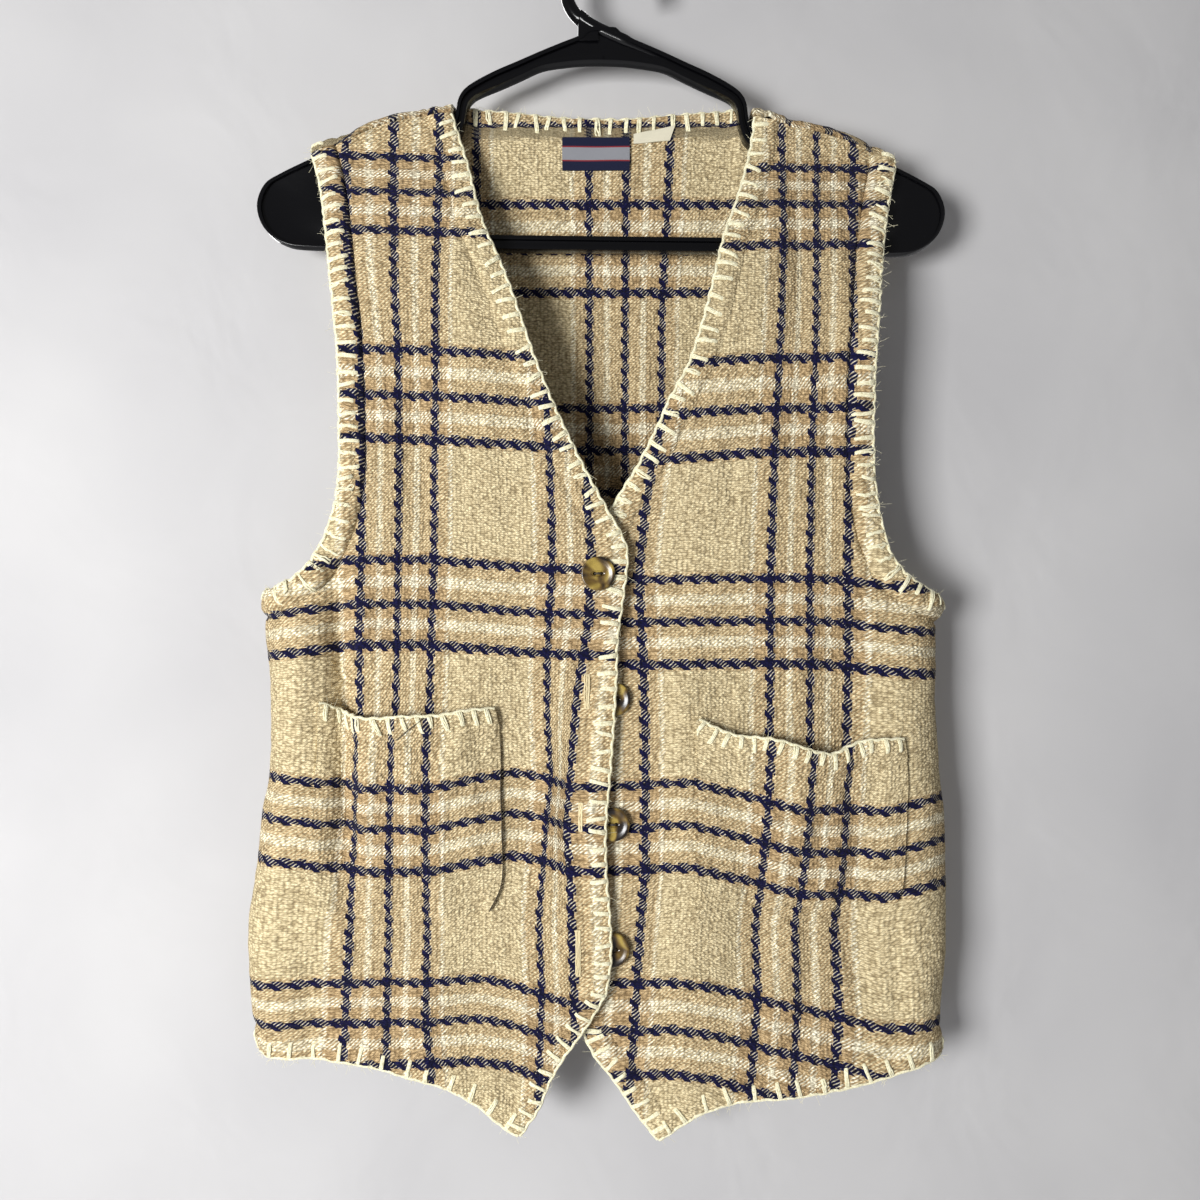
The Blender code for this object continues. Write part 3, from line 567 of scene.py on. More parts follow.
def sewn(cloth, cut, inset, look, slot, node, thick=WALL):
    """The panel's mesh: a grid laid on its place, with a wall that is thicker on its turned edges"""
    rows, columns = cloth.points.shape[:2]
    bpy.ops.mesh.primitive_grid_add(x_subdivisions=columns - 1, y_subdivisions=rows - 1, size=1)
    made = bpy.context.object
    made.name = f"cloth_{cloth.name}"
    mesh = made.data
    flat = np.array([v.co for v in mesh.vertices])
    column = np.rint((flat[:, 0] + 0.5) * (columns - 1)).astype(int)
    row = np.rint((0.5 - flat[:, 1]) * (rows - 1)).astype(int)
    mesh.vertices.foreach_set("co", (cloth.points[row, column] * MM).ravel())
    cut_map = mesh.uv_layers.active
    cut_map.name = "cut"
    loops = np.array([loop.vertex_index for loop in mesh.loops])
    pairs = np.stack([cut[0][row, column], cut[1][row, column]], axis=1)[loops] * MM
    cut_map.data.foreach_set("uv", pairs.ravel())
    mesh.update()
    if mesh.polygons[len(mesh.polygons) // 2].normal.y * cloth.outward < 0:
        mesh.flip_normals()
    share = np.ones(cloth.points.shape[:2]) if inset is None else 1 - ease((inset - BAND + 2) / 3.5)
    levels = np.round(share[row, column], 2)
    turned = made.vertex_groups.new(name="turned")
    for level in np.unique(levels):
        turned.add(np.nonzero(levels == level)[0].tolist(), float(level), "REPLACE")
    full = thick if inset is None else thick + BAND_RISE
    wall = made.modifiers.new("wall", "SOLIDIFY")
    wall.thickness = full * MM
    wall.offset = 0.0
    wall.vertex_group = "turned"
    wall.thickness_vertex_group = thick / full
    bpy.ops.object.modifier_apply(modifier=wall.name)
    return dressed(coated(made, 50, look), slot, node)


def dressed(made, slot, *nodes):
    """Puts a finished piece on the body and hides the frame's parts that it stands for"""
    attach(made, "root")
    if nodes:
        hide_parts(*nodes)
    return made


def woven(name, points, outward, x, z, place, edges, look):
    """A laid piece of the check, crinkled and with its wall"""
    inset, along, welt = edge_inset(x, z, edges)
    cloth = Cloth(name, crinkled(points, outward, x, z, inset, along, welt), outward)
    cloth.piece = sewn(cloth, place, inset, look, "homespun_cotton", name)
    return cloth


def panel(name, cut, lay, outward, warps, wefts, take, edges, look):
    """A front or the back, laid from its cut"""
    x, z = cut
    points = lay(x, z)
    across, down = check_place(x, z, warps, wefts, take)
    across = round_side(across, x, z, points)
    cloth = woven(name, points, outward, x, z, (across, down), edges, look)
    cloth.lay = lambda a, b: lay(np.array(a), np.array(b))
    return cloth


def front_panel(name, side, armhole, seam, centre, point, hem, lap, warps, wefts, look):
    top_at = shoulder_seam(side, -SEAM_GAP / 2)
    arm_line = Line([top_at(0), *armhole])
    centre_line = Line([top_at(1), *centre], point)
    hem_line = Line(hem)
    cut = spanned(top_at, hem_line.at, side_edge(arm_line, Line(seam)), centre_line.at,
                  spaced(FRONT_COLUMNS, 0.35), spaced(GRID))
    edges = [(arm_line.points, WELT_ARMHOLE), (centre_line.points, WELT_FRONT),
             (hem_line.points, WELT_HEM)]
    return panel(name, cut, laid_front(lap), -1, warps, wefts, SIDE_TAKE, edges, look)


def back_panel(look):
    wrap = math.pi * RIDGE_RADIUS - SEAM_GAP / 2
    right_at = shoulder_seam(-1, wrap)
    left_at = shoulder_seam(1, wrap)
    neck_right = [right_at(1), (-94.7, spring(-94) + 9.4), (-94.1, spring(-94)), NECK_BACK[0]]
    neck_left = [NECK_BACK[-1], (94.1, spring(94)), (94.7, spring(94) + 9.4), left_at(1)]
    right_spring = (-SHOULDER_END, spring(-SHOULDER_END))
    left_spring = (SHOULDER_END, spring(SHOULDER_END))
    arm_right = Line([right_at(0), right_spring], [right_spring, *ARMHOLE_RIGHT])
    arm_left = Line([left_at(0), left_spring], [left_spring, *ARMHOLE_LEFT])
    neck_lines = (Line(neck_right), Line(NECK_BACK), Line(neck_left))
    shoulder = (SHOULDER_END - NECK_X) / (2 * SHOULDER_END)
    turns = (shoulder, shoulder + NECK_TURN, 1 - shoulder - NECK_TURN, 1 - shoulder)

    def top_at(u):
        if u <= shoulder:
            return right_at(u / shoulder)
        if u >= 1 - shoulder:
            return left_at((1 - u) / shoulder)
        for line, start, end in zip(neck_lines, turns, turns[1:]):
            if u <= end:
                return line.at((u - start) / (end - start))

    hem_line = Line([SIDE_RIGHT[-1], SIDE_LEFT[-1]])
    columns = sorted({*spaced(BACK_COLUMNS, 0.2).tolist(), *turns})
    cut = spanned(top_at, hem_line.at, side_edge(arm_right, Line(SIDE_RIGHT)),
                  side_edge(arm_left, Line(SIDE_LEFT)), columns, spaced(GRID, 0.15))
    edges = [(arm_right.points, WELT_FRONT), (arm_left.points, WELT_FRONT),
             (neck_lines[1].points, WELT_FRONT), (hem_line.points, WELT_HEM)]
    wefts = [(place, height, None) for place, height in WEFT_BACK]
    return panel("back", cut, laid_back, 1, WARP_BACK, wefts, 1.0, edges, look)


def pocket(name, mouth, outer, inner, foot, front, warps, wefts, look):
    """A patch laid on its front, hanging a little open at the mouth"""
    if mouth[0][0] > 0:
        left_edge, right_edge = Line(inner), Line(outer)
    else:
        left_edge, right_edge = Line(outer), Line(inner)
    mouth_line = Line(mouth)
    shares = spaced(POCKET_GRID)
    x, z = spanned(mouth_line.at, Line(foot).at, left_edge.at, right_edge.at, shares, shares)
    u, v = shares[None, :], shares[:, None]
    gape = POCKET_GAPE * np.sin(np.pi * u) ** 0.8 * (1 - v) ** 0.8
    y = np.empty(x.shape)
    for i in np.ndindex(x.shape):
        hit = front.tree.ray_cast(Vector((x[i], -200, z[i])), Vector((0, 1, 0)))[0]
        y[i] = hit.y
    y = y - WALL - POCKET_CLEAR - gape
    points = np.stack([x, y, z], axis=-1)
    return woven(name, points, -1, x, z, check_place(x, z, warps, wefts),
                 [(mouth_line.points, WELT_HEM)], look)


def alone(made):
    """Makes a piece the only one selected, and the active one"""
    bpy.ops.object.select_all(action="DESELECT")
    made.select_set(True)
    bpy.context.view_layer.objects.active = made


def strands_mesh(name, strands, radius, look):
    """Yarn or thread of one radius laid along paths"""
    curve = bpy.data.curves.new(name, "CURVE")
    curve.dimensions = "3D"
    curve.bevel_depth = radius * MM
    curve.bevel_resolution = 1
    curve.use_fill_caps = True
    for strand in strands:
        spline = curve.splines.new("POLY")
        spline.points.add(len(strand) - 1)
        for point, place in zip(spline.points, strand):
            point.co = (*(Vector(place) * MM), 1.0)
    made = bpy.data.objects.new(name, curve)
    bpy.context.scene.collection.objects.link(made)
    alone(made)
    bpy.ops.object.convert(target="MESH")
    made = bpy.context.object
    made.data.shade_smooth()
    made.data.materials.append(look)
    return dressed(made, "homespun_cotton")


def resampled(run, step):
    """Points at even steps along a run, with its length"""
    run = np.array([tuple(p) for p in run])
    reach = reaches(run)
    stops = np.linspace(0, reach[-1], max(2, int(round(reach[-1] / step))))
    return [Vector([np.interp(s, reach, run[:, k]) for k in range(3)]) for s in stops], reach[-1]


def blanket_stitch(cloth, rng, run, pitch, leg=STITCH_LEG, faces=(1, -1), slant=0.0):
    """Legs of three strands that run in from an edge, and the cord that joins them along it"""
    half = (WALL + BAND_RISE) / 2
    fine, length = resampled(run, 0.5)
    count = max(2, int(round(length / pitch)))
    legs, cord = [], []

    def stand(share):
        """The edge's place, its direction, its normal and the way in at a share of the run"""
        i = min(max(int(share * (len(fine) - 1)), 1), len(fine) - 2)
        ahead = (fine[i + 1] - fine[i - 1]).normalized()
        return (fine[i], ahead, *cloth.frame(fine[i], ahead))

    for k in range(count):
        root, ahead, normal, inward = stand((k + 0.5 + rng.uniform(-0.14, 0.14)) / count)
        for face in faces:
            reach = leg * rng.uniform(0.72, 1.12)
            lean = slant + rng.uniform(-0.22, 0.22)
            for strand in (-1, 0, 1):
                fan = strand * YARN_RADIUS * rng.uniform(1.05, 1.5)
                path = [root - inward * 0.5 + normal * (face * half * 0.4) + ahead * fan]
                for step in LEG_STEPS:
                    spot = root + inward * (reach * step)
                    wander = rng.uniform(-0.14, 0.14)
                    spot += ahead * (fan * (1.1 - 0.25 * step) + lean * reach * step + wander)
                    sag = YARN_RADIUS * (1.0 - 0.3 * abs(step - 0.5) - 0.25 * abs(strand))
                    path.append(cloth.skin(spot, face, half + sag if step < 1 else half - 0.9))
                legs.append(path)
    steps = max(4, int(length / 1.5))
    for k in range(steps + 1):
        root, _, normal, inward = stand(k / steps)
        wave = math.cos(2 * math.pi * (k / steps * count))
        wander = rng.uniform(-0.12, 0.12)
        cord.append(root - inward * (0.5 - 0.35 * wave + wander)
                    + normal * (half * 0.45 + 0.3 * wave))
    return legs, cord


# Materials


def fill(tree, node, sockets):
    """Fills a node's sockets with values or with other nodes' outputs"""
    for key, value in sockets.items():
        if isinstance(value, bpy.types.NodeSocket):
            tree.links.new(value, node.inputs[key])
        else:
            node.inputs[key].default_value = value


def add(tree, kind, sockets=None, **settings):
    """Adds a node with its properties and sockets"""
    made = tree.nodes.new(kind)
    for key, value in settings.items():
        setattr(made, key, value)
    fill(tree, made, sockets or {})
    return made


def grain(tree, **sockets):
    """Noise that is fixed to the piece, its scale per metre"""
    place = add(tree, "ShaderNodeTexCoord").outputs["Object"]
    return add(tree, "ShaderNodeTexNoise", {"Vector": place, **sockets}).outputs["Fac"]


def new_look(name):
    """An empty material and its nodes"""
    made = bpy.data.materials.new(name)
    made.use_nodes = True
    return made, made.node_tree


def shaded(made, sockets, height=None, strength=0.0, depth=0.0):
    """Fills the shader, and gives it a bump of so many millimetres"""
    tree = made.node_tree
    if height is not None:
        bump = add(tree, "ShaderNodeBump", {"Height": height, "Strength": strength,
                                            "Distance": depth * MM})
        sockets = {**sockets, "Normal": bump.outputs[0]}
    fill(tree, tree.nodes["Principled BSDF"], sockets)
    return made


def ramp_of(tree, factor, stops, interpolation="LINEAR"):
    """A colour ramp from pairs of place and colour"""
    made = add(tree, "ShaderNodeValToRGB", {"Fac": factor})
    ramp = made.color_ramp
    ramp.interpolation = interpolation
    while len(ramp.elements) > 1:
        ramp.elements.remove(ramp.elements[-1])
    ramp.elements[0].position = stops[0][0]
    ramp.elements[0].color = stops[0][1]
    for place, value in stops[1:]:
        ramp.elements.new(place).color = value
    return made.outputs["Color"]


def homespun():
    """Homespun cotton, woven of slubby singles and washed until it crinkles. The yarn-dyed
    check gives flat matt colour and the slubs vary its tone; painted shade darkens the small
    pits and a painted highlight lightens the raised dashes between them."""
    made, tree = new_look("homespun_cotton")

    def maths(operation, a, b=0.0, c=0.0):
        return add(tree, "ShaderNodeMath", {0: a, 1: b, 2: c}, operation=operation).outputs[0]

    def vector(operation, *values):
        made = add(tree, "ShaderNodeVectorMath", dict(enumerate(values)), operation=operation)
        return made.outputs[0]

    def mix(factor, a, b, blend="MIX"):
        return add(tree, "ShaderNodeMix", {0: factor, 6: a, 7: b}, data_type="RGBA",
                   blend_type=blend).outputs[2]

    def uneven(stretch, detail):
        """Noise drawn out along the yarns"""
        return add(tree, "ShaderNodeTexNoise", {"Vector": vector("MULTIPLY", mm, stretch),
                                                "Scale": 1.0, "Detail": detail}).outputs["Fac"]

    def spread(value, low, high, dark, light):
        return add(tree, "ShaderNodeMapRange", {"Value": value, "From Min": low, "From Max": high,
                                                "To Min": dark, "To Max": light}).outputs[0]

    def clamped(value):
        return add(tree, "ShaderNodeClamp", {"Value": value}).outputs[0]

    # Places in the cut, in millimetres, with the yarns' slight wander
    cut = add(tree, "ShaderNodeUVMap", uv_map="cut").outputs["UV"]
    mm = vector("MULTIPLY", cut, (1000, 1000, 1000))
    drift = add(tree, "ShaderNodeTexNoise", {"Vector": mm, "Scale": 0.16, "Detail": 2.0})
    drift = vector("SUBTRACT", drift.outputs["Color"], (0.5, 0.5, 0.5))
    mm = vector("MULTIPLY_ADD", drift, (1.5, 1.5, 0), mm)
    split = add(tree, "ShaderNodeSeparateXYZ", {0: mm})
    u, v = split.outputs[0], split.outputs[1]

    oat, tan, cream = (colour(c) for c in ("#DCCBA2", "#C0A57B", "#FAF2D6"))
    navy, pale = (colour(c) for c in ("#0A0A34", "#CFC7B2"))
    start = 13.0

    def repeat(place, period):
        """Place in the repeat of the check, from 0 to 1"""
        return maths("FRACT", maths("MULTIPLY_ADD", place, 1 / period, start / period))

    def ground(place, period, line_pitch, cream_width, outer_cream):
        """Oat, with tan and cream stripes between the three navy lines and beside them"""
        last = start + 2 * line_pitch
        if outer_cream:
            before = [(start - 12, oat), (start - 11.2, cream), (start - 9.4, cream),
                      (start - 8.6, tan)]
            after = [(last + 8.6, tan), (last + 9.4, cream), (last + 11.2, cream), (last + 12, oat)]
        else:
            before = [(start - 5, oat), (start - 4, tan)]
            after = [(last + 4, tan), (last + 5, oat)]
        between = []
        for k in range(2):
            middle = start + (k + 0.5) * line_pitch
            half = cream_width / 2
            between += [(middle - half - 1, tan), (middle - half, cream), (middle + half, cream),
                        (middle + half + 1, tan)]
        stops = [(max(p, 0) / period, c) for p, c in [(0, oat), *before, *between, *after]]
        return ramp_of(tree, repeat(place, period), stops)

    # Slubs thicken and thin the cream yarns, so the cream stripes have ragged edges
    ragged = maths("MULTIPLY_ADD", uneven((0.45, 0.3, 1), 2.0), 5.0, -2.5)
    warp_ground = ground(maths("ADD", u, ragged), WARP_PERIOD, WARP_LINE_PITCH, 3.0, True)
    weft_ground = ground(maths("ADD", v, ragged), WEFT_PERIOD, WEFT_LINE_PITCH, 5.5, False)

    def bands(place, period, line_pitch, half):
        """1 on the three navy lines of each group"""
        black, white = (0, 0, 0, 1), (1, 1, 1, 1)
        stops = [(0, black)]
        for k in range(3):
            middle = start + k * line_pitch
            stops += [((middle - half) / period, white), ((middle + half) / period, black)]
        return ramp_of(tree, repeat(place, period), stops, "CONSTANT")

    def floats(along, place, length, lean, width):
        """1 in the slanting solid floats that come once in each such length of a navy line"""
        slanted = maths("MULTIPLY", place, lean / length)
        saw = maths("FRACT", maths("MULTIPLY_ADD", along, 1 / length, slanted))
        return maths("LESS_THAN", saw, width)

    def stepped(place, solid, throw):
        """A line's edges step across by this throw at each float"""
        return maths("MULTIPLY_ADD", solid, throw, maths("SUBTRACT", place, throw / 2))

    warp_floats = floats(v, u, 10.2, -0.9, 0.36)
    weft_floats = floats(u, v, 9.6, -1.1, 0.42)
    warp_navy = bands(stepped(u, warp_floats, 1.2), WARP_PERIOD, WARP_LINE_PITCH, 2.4)
    weft_navy = bands(stepped(v, weft_floats, -1.3), WEFT_PERIOD, WEFT_LINE_PITCH, 2.6)

    # Where the warp lies over the weft: a diagonal hatch 2.4 mm wide, mostly navy on the lines
    hatch = maths("SINE", maths("MULTIPLY", maths("ADD", u, v), math.pi / 1.2))
    over = maths("MULTIPLY_ADD", hatch, 2.0, 0.5)
    lean_to_navy = maths("MULTIPLY", maths("SUBTRACT", warp_navy, weft_navy), 1.15)
    over = clamped(maths("ADD", over, lean_to_navy))
    solid = maths("SUBTRACT", maths("MULTIPLY", warp_navy, warp_floats),
                  maths("MULTIPLY", weft_navy, weft_floats))
    over = clamped(maths("ADD", over, solid))
    warp = mix(warp_navy, mix(weft_navy, warp_ground, pale), navy)
    weft = mix(weft_navy, mix(warp_navy, weft_ground, pale), navy)

    # Crinkle: short floats 2.4 by 1.3 mm in loose rows with pits between, which give the bump;
    # painted shade darkens the pits and a painted highlight lightens the floats
    pebble = vector("MULTIPLY", mm, (1 / 2.4, 1 / 1.3, 1))
    pits = add(tree, "ShaderNodeTexVoronoi", {"Vector": pebble, "Scale": 1.0, "Randomness": 0.62},
               feature="F1").outputs["Distance"]
    slub = uneven((0.5, 0.11, 1), 3.0)
    # Painted shade in the pits and painted highlight on the floats, times the slubs' own tone
    shade = maths("MULTIPLY", spread(pits, 0.15, 0.75, 1.34, 0.4), spread(slub, 0.3, 0.7, 0.8, 1.18))
    # The painted shade in the pits is browner and the painted highlight on the floats paler than the
    # yarn's own colour, with the slubs' own tone carried along
    painted_shade_and_slub_tint = add(tree, "ShaderNodeCombineXYZ", {0: maths("POWER", shade, 0.92), 1: shade,
                                                2: maths("POWER", shade, 1.12)}).outputs[0]
    height = maths("MULTIPLY_ADD", pits, -1.0, maths("MULTIPLY", over, 0.25))
    height = maths("MULTIPLY_ADD", slub, 0.8, height)
    return shaded(made, {"Base Color": mix(1.0, mix(over, weft, warp), painted_shade_and_slub_tint, "MULTIPLY"),
                         "Roughness": 0.92, "IOR": 1.53, "Specular IOR Level": 0.15,
                         "Sheen Weight": 0.03, "Sheen Roughness": 0.6}, height, 1.0, 1.3)


def yarn_look():
    """Soft-spun cotton yarn of the blanket stitch: cream, matt and hairy, its ply a fine twist"""
    made, tree = new_look("stitching_yarn")
    fibre = grain(tree, Scale=900.0, Detail=2.0)
    tint = ramp_of(tree, fibre, [(0.3, colour("#C9C29C")), (0.7, colour("#F2EDD0"))])
    return shaded(made, {"Base Color": tint, "Roughness": 0.95, "Sheen Weight": 0.3}, fibre, 0.6, 0.4)


def thread_look(name, hex_colour):
    """Spun polyester sewing thread, with a slight shine and a fine ply"""
    made, tree = new_look(name)
    ply = grain(tree, Scale=1600.0)
    return shaded(made, {"Base Color": colour(hex_colour), "Roughness": 0.7}, ply, 0.4, 0.1)


def styrene():
    """Black polystyrene, injection-moulded: glossy with a slight orange peel"""
    made, tree = new_look("black_styrene")
    peel = grain(tree, Scale=260.0, Detail=1.0)
    return shaded(made, {"Base Color": colour("#060608"), "Roughness": 0.18, "IOR": 1.59,
                         "Specular IOR Level": 0.22}, peel, 0.08, 0.5)


def tortoise():
    """Cast polyester resin marbled like tortoiseshell: olive amber clouds in dark brown, polished"""
    made, tree = new_look("tortoise_resin")
    cloud = grain(tree, Scale=70.0, Detail=1.5, Distortion=0.8)
    tint = ramp_of(tree, cloud, [(0.43, colour("#1A1109")), (0.52, colour("#5A451C")),
                                 (0.62, colour("#9C8640"))])
    return shaded(made, {"Base Color": tint, "Roughness": 0.28, "IOR": 1.56})


def woven_label():
    """Damask-woven polyester label: satin bands of navy and grey with thin red lines"""
    made, tree = new_look("woven_label")
    cut = add(tree, "ShaderNodeUVMap", uv_map="cut").outputs["UV"]
    split = add(tree, "ShaderNodeSeparateXYZ", {0: cut})
    navy, grey, red = colour("#10142E"), colour("#808186"), colour("#7A2228")
    tint = ramp_of(tree, split.outputs[1],
                   [(0.0, navy), (0.27, red), (0.31, grey), (0.69, red), (0.73, navy)], "CONSTANT")
    mm = add(tree, "ShaderNodeVectorMath", {0: cut, 1: (43, 20, 1)}, operation="MULTIPLY").outputs[0]
    rib = add(tree, "ShaderNodeTexWave", {"Vector": mm, "Scale": 0.9}, bands_direction="DIAGONAL")
    return shaded(made, {"Base Color": tint, "Roughness": 0.75, "Specular IOR Level": 0.2},
                  rib.outputs["Fac"], 0.4, 0.2)


def care_tape():
    """White acetate satin tape: smooth with a soft shine"""
    made, tree = new_look("care_tape")
    weave = grain(tree, Scale=1500.0)
    return shaded(made, {"Base Color": colour("#CCC6B0"), "Roughness": 0.5}, weave, 0.2, 0.2)


def label(name, corners, look, slot, node):
    """A sewn-in label on the inside of the back"""
    a, b, c, d = [np.array(p, float) for p in corners]
    v, u = (spaced(count) for count in LABEL_GRID)
    u, v = u[None, :, None], v[:, None, None]
    flat = (a + (b - a) * u) * (1 - v) + (d + (c - d) * u) * v
    x, z = flat[..., 0], flat[..., 1]
    off = (WALL + LABEL_THICK) / 2 + LABEL_CLEAR
    ripple = 0.25 * np.sin(u[..., 0] * 7 + v[..., 0] * 3)
    points = np.stack([x, back_y(x, z) - off - ripple, z], axis=-1)
    cut = (u[..., 0] / MM + 0 * x, (1 - v[..., 0]) / MM + 0 * x)
    return sewn(Cloth(name, points, -1), cut, None, look, slot, node, LABEL_THICK)


def bevelled(made, width, segments):
    """Rounds a piece's sharp edges"""
    edge = made.modifiers.new("edge", "BEVEL")
    edge.width = width * MM
    edge.segments = segments
    edge.limit_method = "ANGLE"
    edge.angle_limit = math.radians(50)
    bpy.ops.object.modifier_apply(modifier=edge.name)


def cut_out(made, cutter):
    """Takes the cutter's form out of a piece"""
    hole = made.modifiers.new("hole", "BOOLEAN")
    hole.operation = "DIFFERENCE"
    hole.object = cutter
    bpy.context.view_layer.update()
    alone(made)
    bpy.ops.object.modifier_apply(modifier=hole.name)
    bpy.data.objects.remove(cutter, do_unlink=True)


def button(name, place, look):
    """A turned disc with a raised rim, a dished middle, a fish-eye round the two sewing holes"""
    lap = 1.0 if place.panel == "over" else -1.0
    steps = (-9, 0, 9)
    edges = [float(front_y(np.array(place.x + dx), np.array(place.z + dz), lap))
             for dx in steps for dz in steps]
    seat = min(edges) - WALL / 2 - BAND_RISE - BUTTON_ROOM
    facing = (math.pi / 2, 0, 0)
    bpy.ops.mesh.primitive_cylinder_add(
        vertices=56, radius=BUTTON_RADIUS * MM, depth=BUTTON_THICK * MM,
        location=(place.x * MM, (seat - BUTTON_THICK / 2) * MM, place.z * MM), rotation=facing)
    made = bpy.context.object
    made.name = f"turned_{name}"
    bpy.ops.object.transform_apply(location=True, rotation=True, scale=True)
    mesh = made.data
    for face in mesh.polygons:
        face.select = face.normal.y < -0.9
    for item in (*mesh.vertices, *mesh.edges):
        item.select = False
    bpy.ops.object.mode_set(mode="EDIT")
    bpy.ops.mesh.select_mode(type="FACE")
    bpy.ops.mesh.inset(thickness=1.9 * MM)
    for width, sink in ((1.2, 0.75), (1.5, 0.15)):
        bpy.ops.mesh.inset(thickness=width * MM)
        bpy.ops.transform.translate(value=(0, sink * MM, 0))
    bpy.ops.object.mode_set(mode="OBJECT")
    bevelled(made, 0.7, 3)
    face_y = (seat - BUTTON_THICK + 0.9) * MM
    bpy.ops.mesh.primitive_uv_sphere_add(segments=32, ring_count=16, radius=MM,
                                         location=(place.x * MM, face_y, place.z * MM))
    bpy.context.object.scale = FISH_EYE
    cut_out(made, bpy.context.object)
    for side in (-1, 1):
        spot = ((place.x + side * HOLE_PITCH / 2) * MM, face_y, place.z * MM)
        bpy.ops.mesh.primitive_cylinder_add(vertices=20, radius=HOLE_RADIUS * MM, depth=12 * MM,
                                            location=spot, rotation=facing)
        cut_out(made, bpy.context.object)
    dressed(coated(made, 35, look), "tortoise_resin", name)
    return seat


def hanger_section(outer, inner):
    """Twelve corners of the moulded I-section between the two edges of the hanger"""
    across = inner - outer
    width = across.length
    across = across.normalized()
    f, t, w = FLANGE_WIDTH / 2, min(FLANGE_THICK, width / 3), WEB_THICK / 2
    shape = [(0, f), (t, f), (t, w), (width - t, w), (width - t, f), (width, f),
             (width, -f), (width - t, -f), (width - t, -w), (t, -w), (t, -f), (0, -f)]
    return [(outer.x + across.x * a, y, outer.y + across.y * a) for a, y in shape]


def tilted(point):
    """The hanger swings a little about the hook's crown"""
    c, s = math.cos(HANGER_TILT), math.sin(HANGER_TILT)
    x, y, z = point[0] + HANGER_MIDDLE, point[1], point[2]
    return (x * c + z * s, y, z * c - x * s)


def swept(name, rings, closed):
    """A torus primitive, opened if need be, with its rings put in their places"""
    corners = len(rings[0])
    bpy.ops.mesh.primitive_torus_add(major_segments=len(rings) + (0 if closed else 1),
                                     minor_segments=corners, major_radius=1, minor_radius=0.1)
    made = bpy.context.object
    made.name = name
    if not closed:
        last = range(len(rings) * corners, (len(rings) + 1) * corners)
        bpy.ops.object.mode_set(mode="EDIT")
        bpy.ops.mesh.select_all(action="DESELECT")
        bpy.ops.mesh.select_mode(type="VERT")
        bpy.ops.object.mode_set(mode="OBJECT")
        for i in last:
            made.data.vertices[i].select = True
        bpy.ops.object.mode_set(mode="EDIT")
        bpy.ops.mesh.delete(type="VERT")
        bpy.ops.mesh.select_all(action="SELECT")
        bpy.ops.mesh.select_non_manifold()
        bpy.ops.mesh.edge_face_add()
        bpy.ops.object.mode_set(mode="OBJECT")
    places = [c * MM for ring in rings for point in ring for c in point]
    made.data.vertices.foreach_set("co", places)
    made.data.update()
    bpy.ops.object.mode_set(mode="EDIT")
    bpy.ops.mesh.select_all(action="SELECT")
    bpy.ops.mesh.normals_make_consistent(inside=False)
    bpy.ops.object.mode_set(mode="OBJECT")
    return made


def rounded(made, width, look):
    """Softens the moulding's corners"""
    bevelled(made, width, 2)
    return coated(made, 40, look)


def hanger(look):
    """The moulded body: one I-section run round its opening"""
    mirrored = [Station(-s.outer_x, s.outer_z, -s.inner_x, s.inner_z) for s in HANGER_HALF[-2::-1]]
    stations = HANGER_HALF + mirrored
    outer = smooth([(s.outer_x, s.outer_z) for s in stations + stations[:1]], 4)[:-1]
    inner = smooth([(s.inner_x, s.inner_z) for s in stations + stations[:1]], 4)[:-1]
    rings = [[tilted(p) for p in hanger_section(a, b)] for a, b in zip(outer, inner)]
    body = rounded(swept("moulded_hanger", rings, True), 0.5, look)
    return dressed(body, "black_styrene", "hanger")


def hook(look):
    """A round rod from the arm's top edge over the neck and round the rail, and the neck's block"""
    middle = HOOK_INNER + HOOK_ROD / 2
    turns, corners, taper = 48, 20, (0.97, 0.9, 0.72)
    run = [Vector((x, z)) for x, z in NECK_RUN[::-1]]
    for i in range(turns + 1):
        angle = HOOK_START + (HOOK_END - HOOK_START) * i / turns
        run.append(Vector((math.cos(angle), math.sin(angle))) * middle - Vector((0, HOOK_INNER)))
    path = smooth(run[:len(NECK_RUN) + 1], 5) + run[len(NECK_RUN) + 1:]
    rings = []
    for i, place in enumerate(path):
        ahead = (path[min(i + 1, len(path) - 1)] - path[max(i - 1, 0)]).normalized()
        radius = HOOK_ROD / 2 * min(1.0, 0.3 + 0.1 * i)
        if i > len(path) - 4:
            radius *= taper[i - len(path) + 3]
        across = Vector((-ahead.y, ahead.x))
        rings.append([(place.x + across.x * radius * math.cos(a), radius * math.sin(a),
                       place.y + across.y * radius * math.cos(a))
                      for a in (math.tau * k / corners for k in range(corners))])
    rod = rounded(swept("moulded_hook", rings, False), 0.8, look)
    bpy.ops.mesh.primitive_cube_add(size=1, location=[c * MM for c in BLOCK_PLACE])
    block = bpy.context.object
    block.name = "neck_block"
    block.scale = [c * MM for c in BLOCK_SIZE]
    bpy.ops.object.transform_apply(location=True, rotation=True, scale=True)
    rounded(block, 0.6, look)
    dressed(block, "black_styrene")
    return dressed(rod, "black_styrene", "hanger_hook")


def buttonhole(cloth, x, top, foot, rng):
    """Two close rows of overcast thread on both sides of the slit, and a bar at each end"""
    rows = []
    for side in (-1, 1):
        for shift in (0.55, 1.25):
            path = []
            for z in (top + (foot - top) * k / 12 for k in range(13)):
                spot = Vector(cloth.lay(x + side * shift + rng.uniform(-0.16, 0.16), z))
                path.append(cloth.skin(spot, 1, WALL / 2 + rng.uniform(0.15, 0.45)))
            rows.append(path)
    for z in (top, foot):
        ends = [Vector(cloth.lay(x + dx, z + rng.uniform(-0.2, 0.2)))
                for dx in (-1.5, -0.5, 0.5, 1.5)]
        rows.append([cloth.skin(spot, 1, WALL / 2 + 0.4) for spot in ends])
    return rows


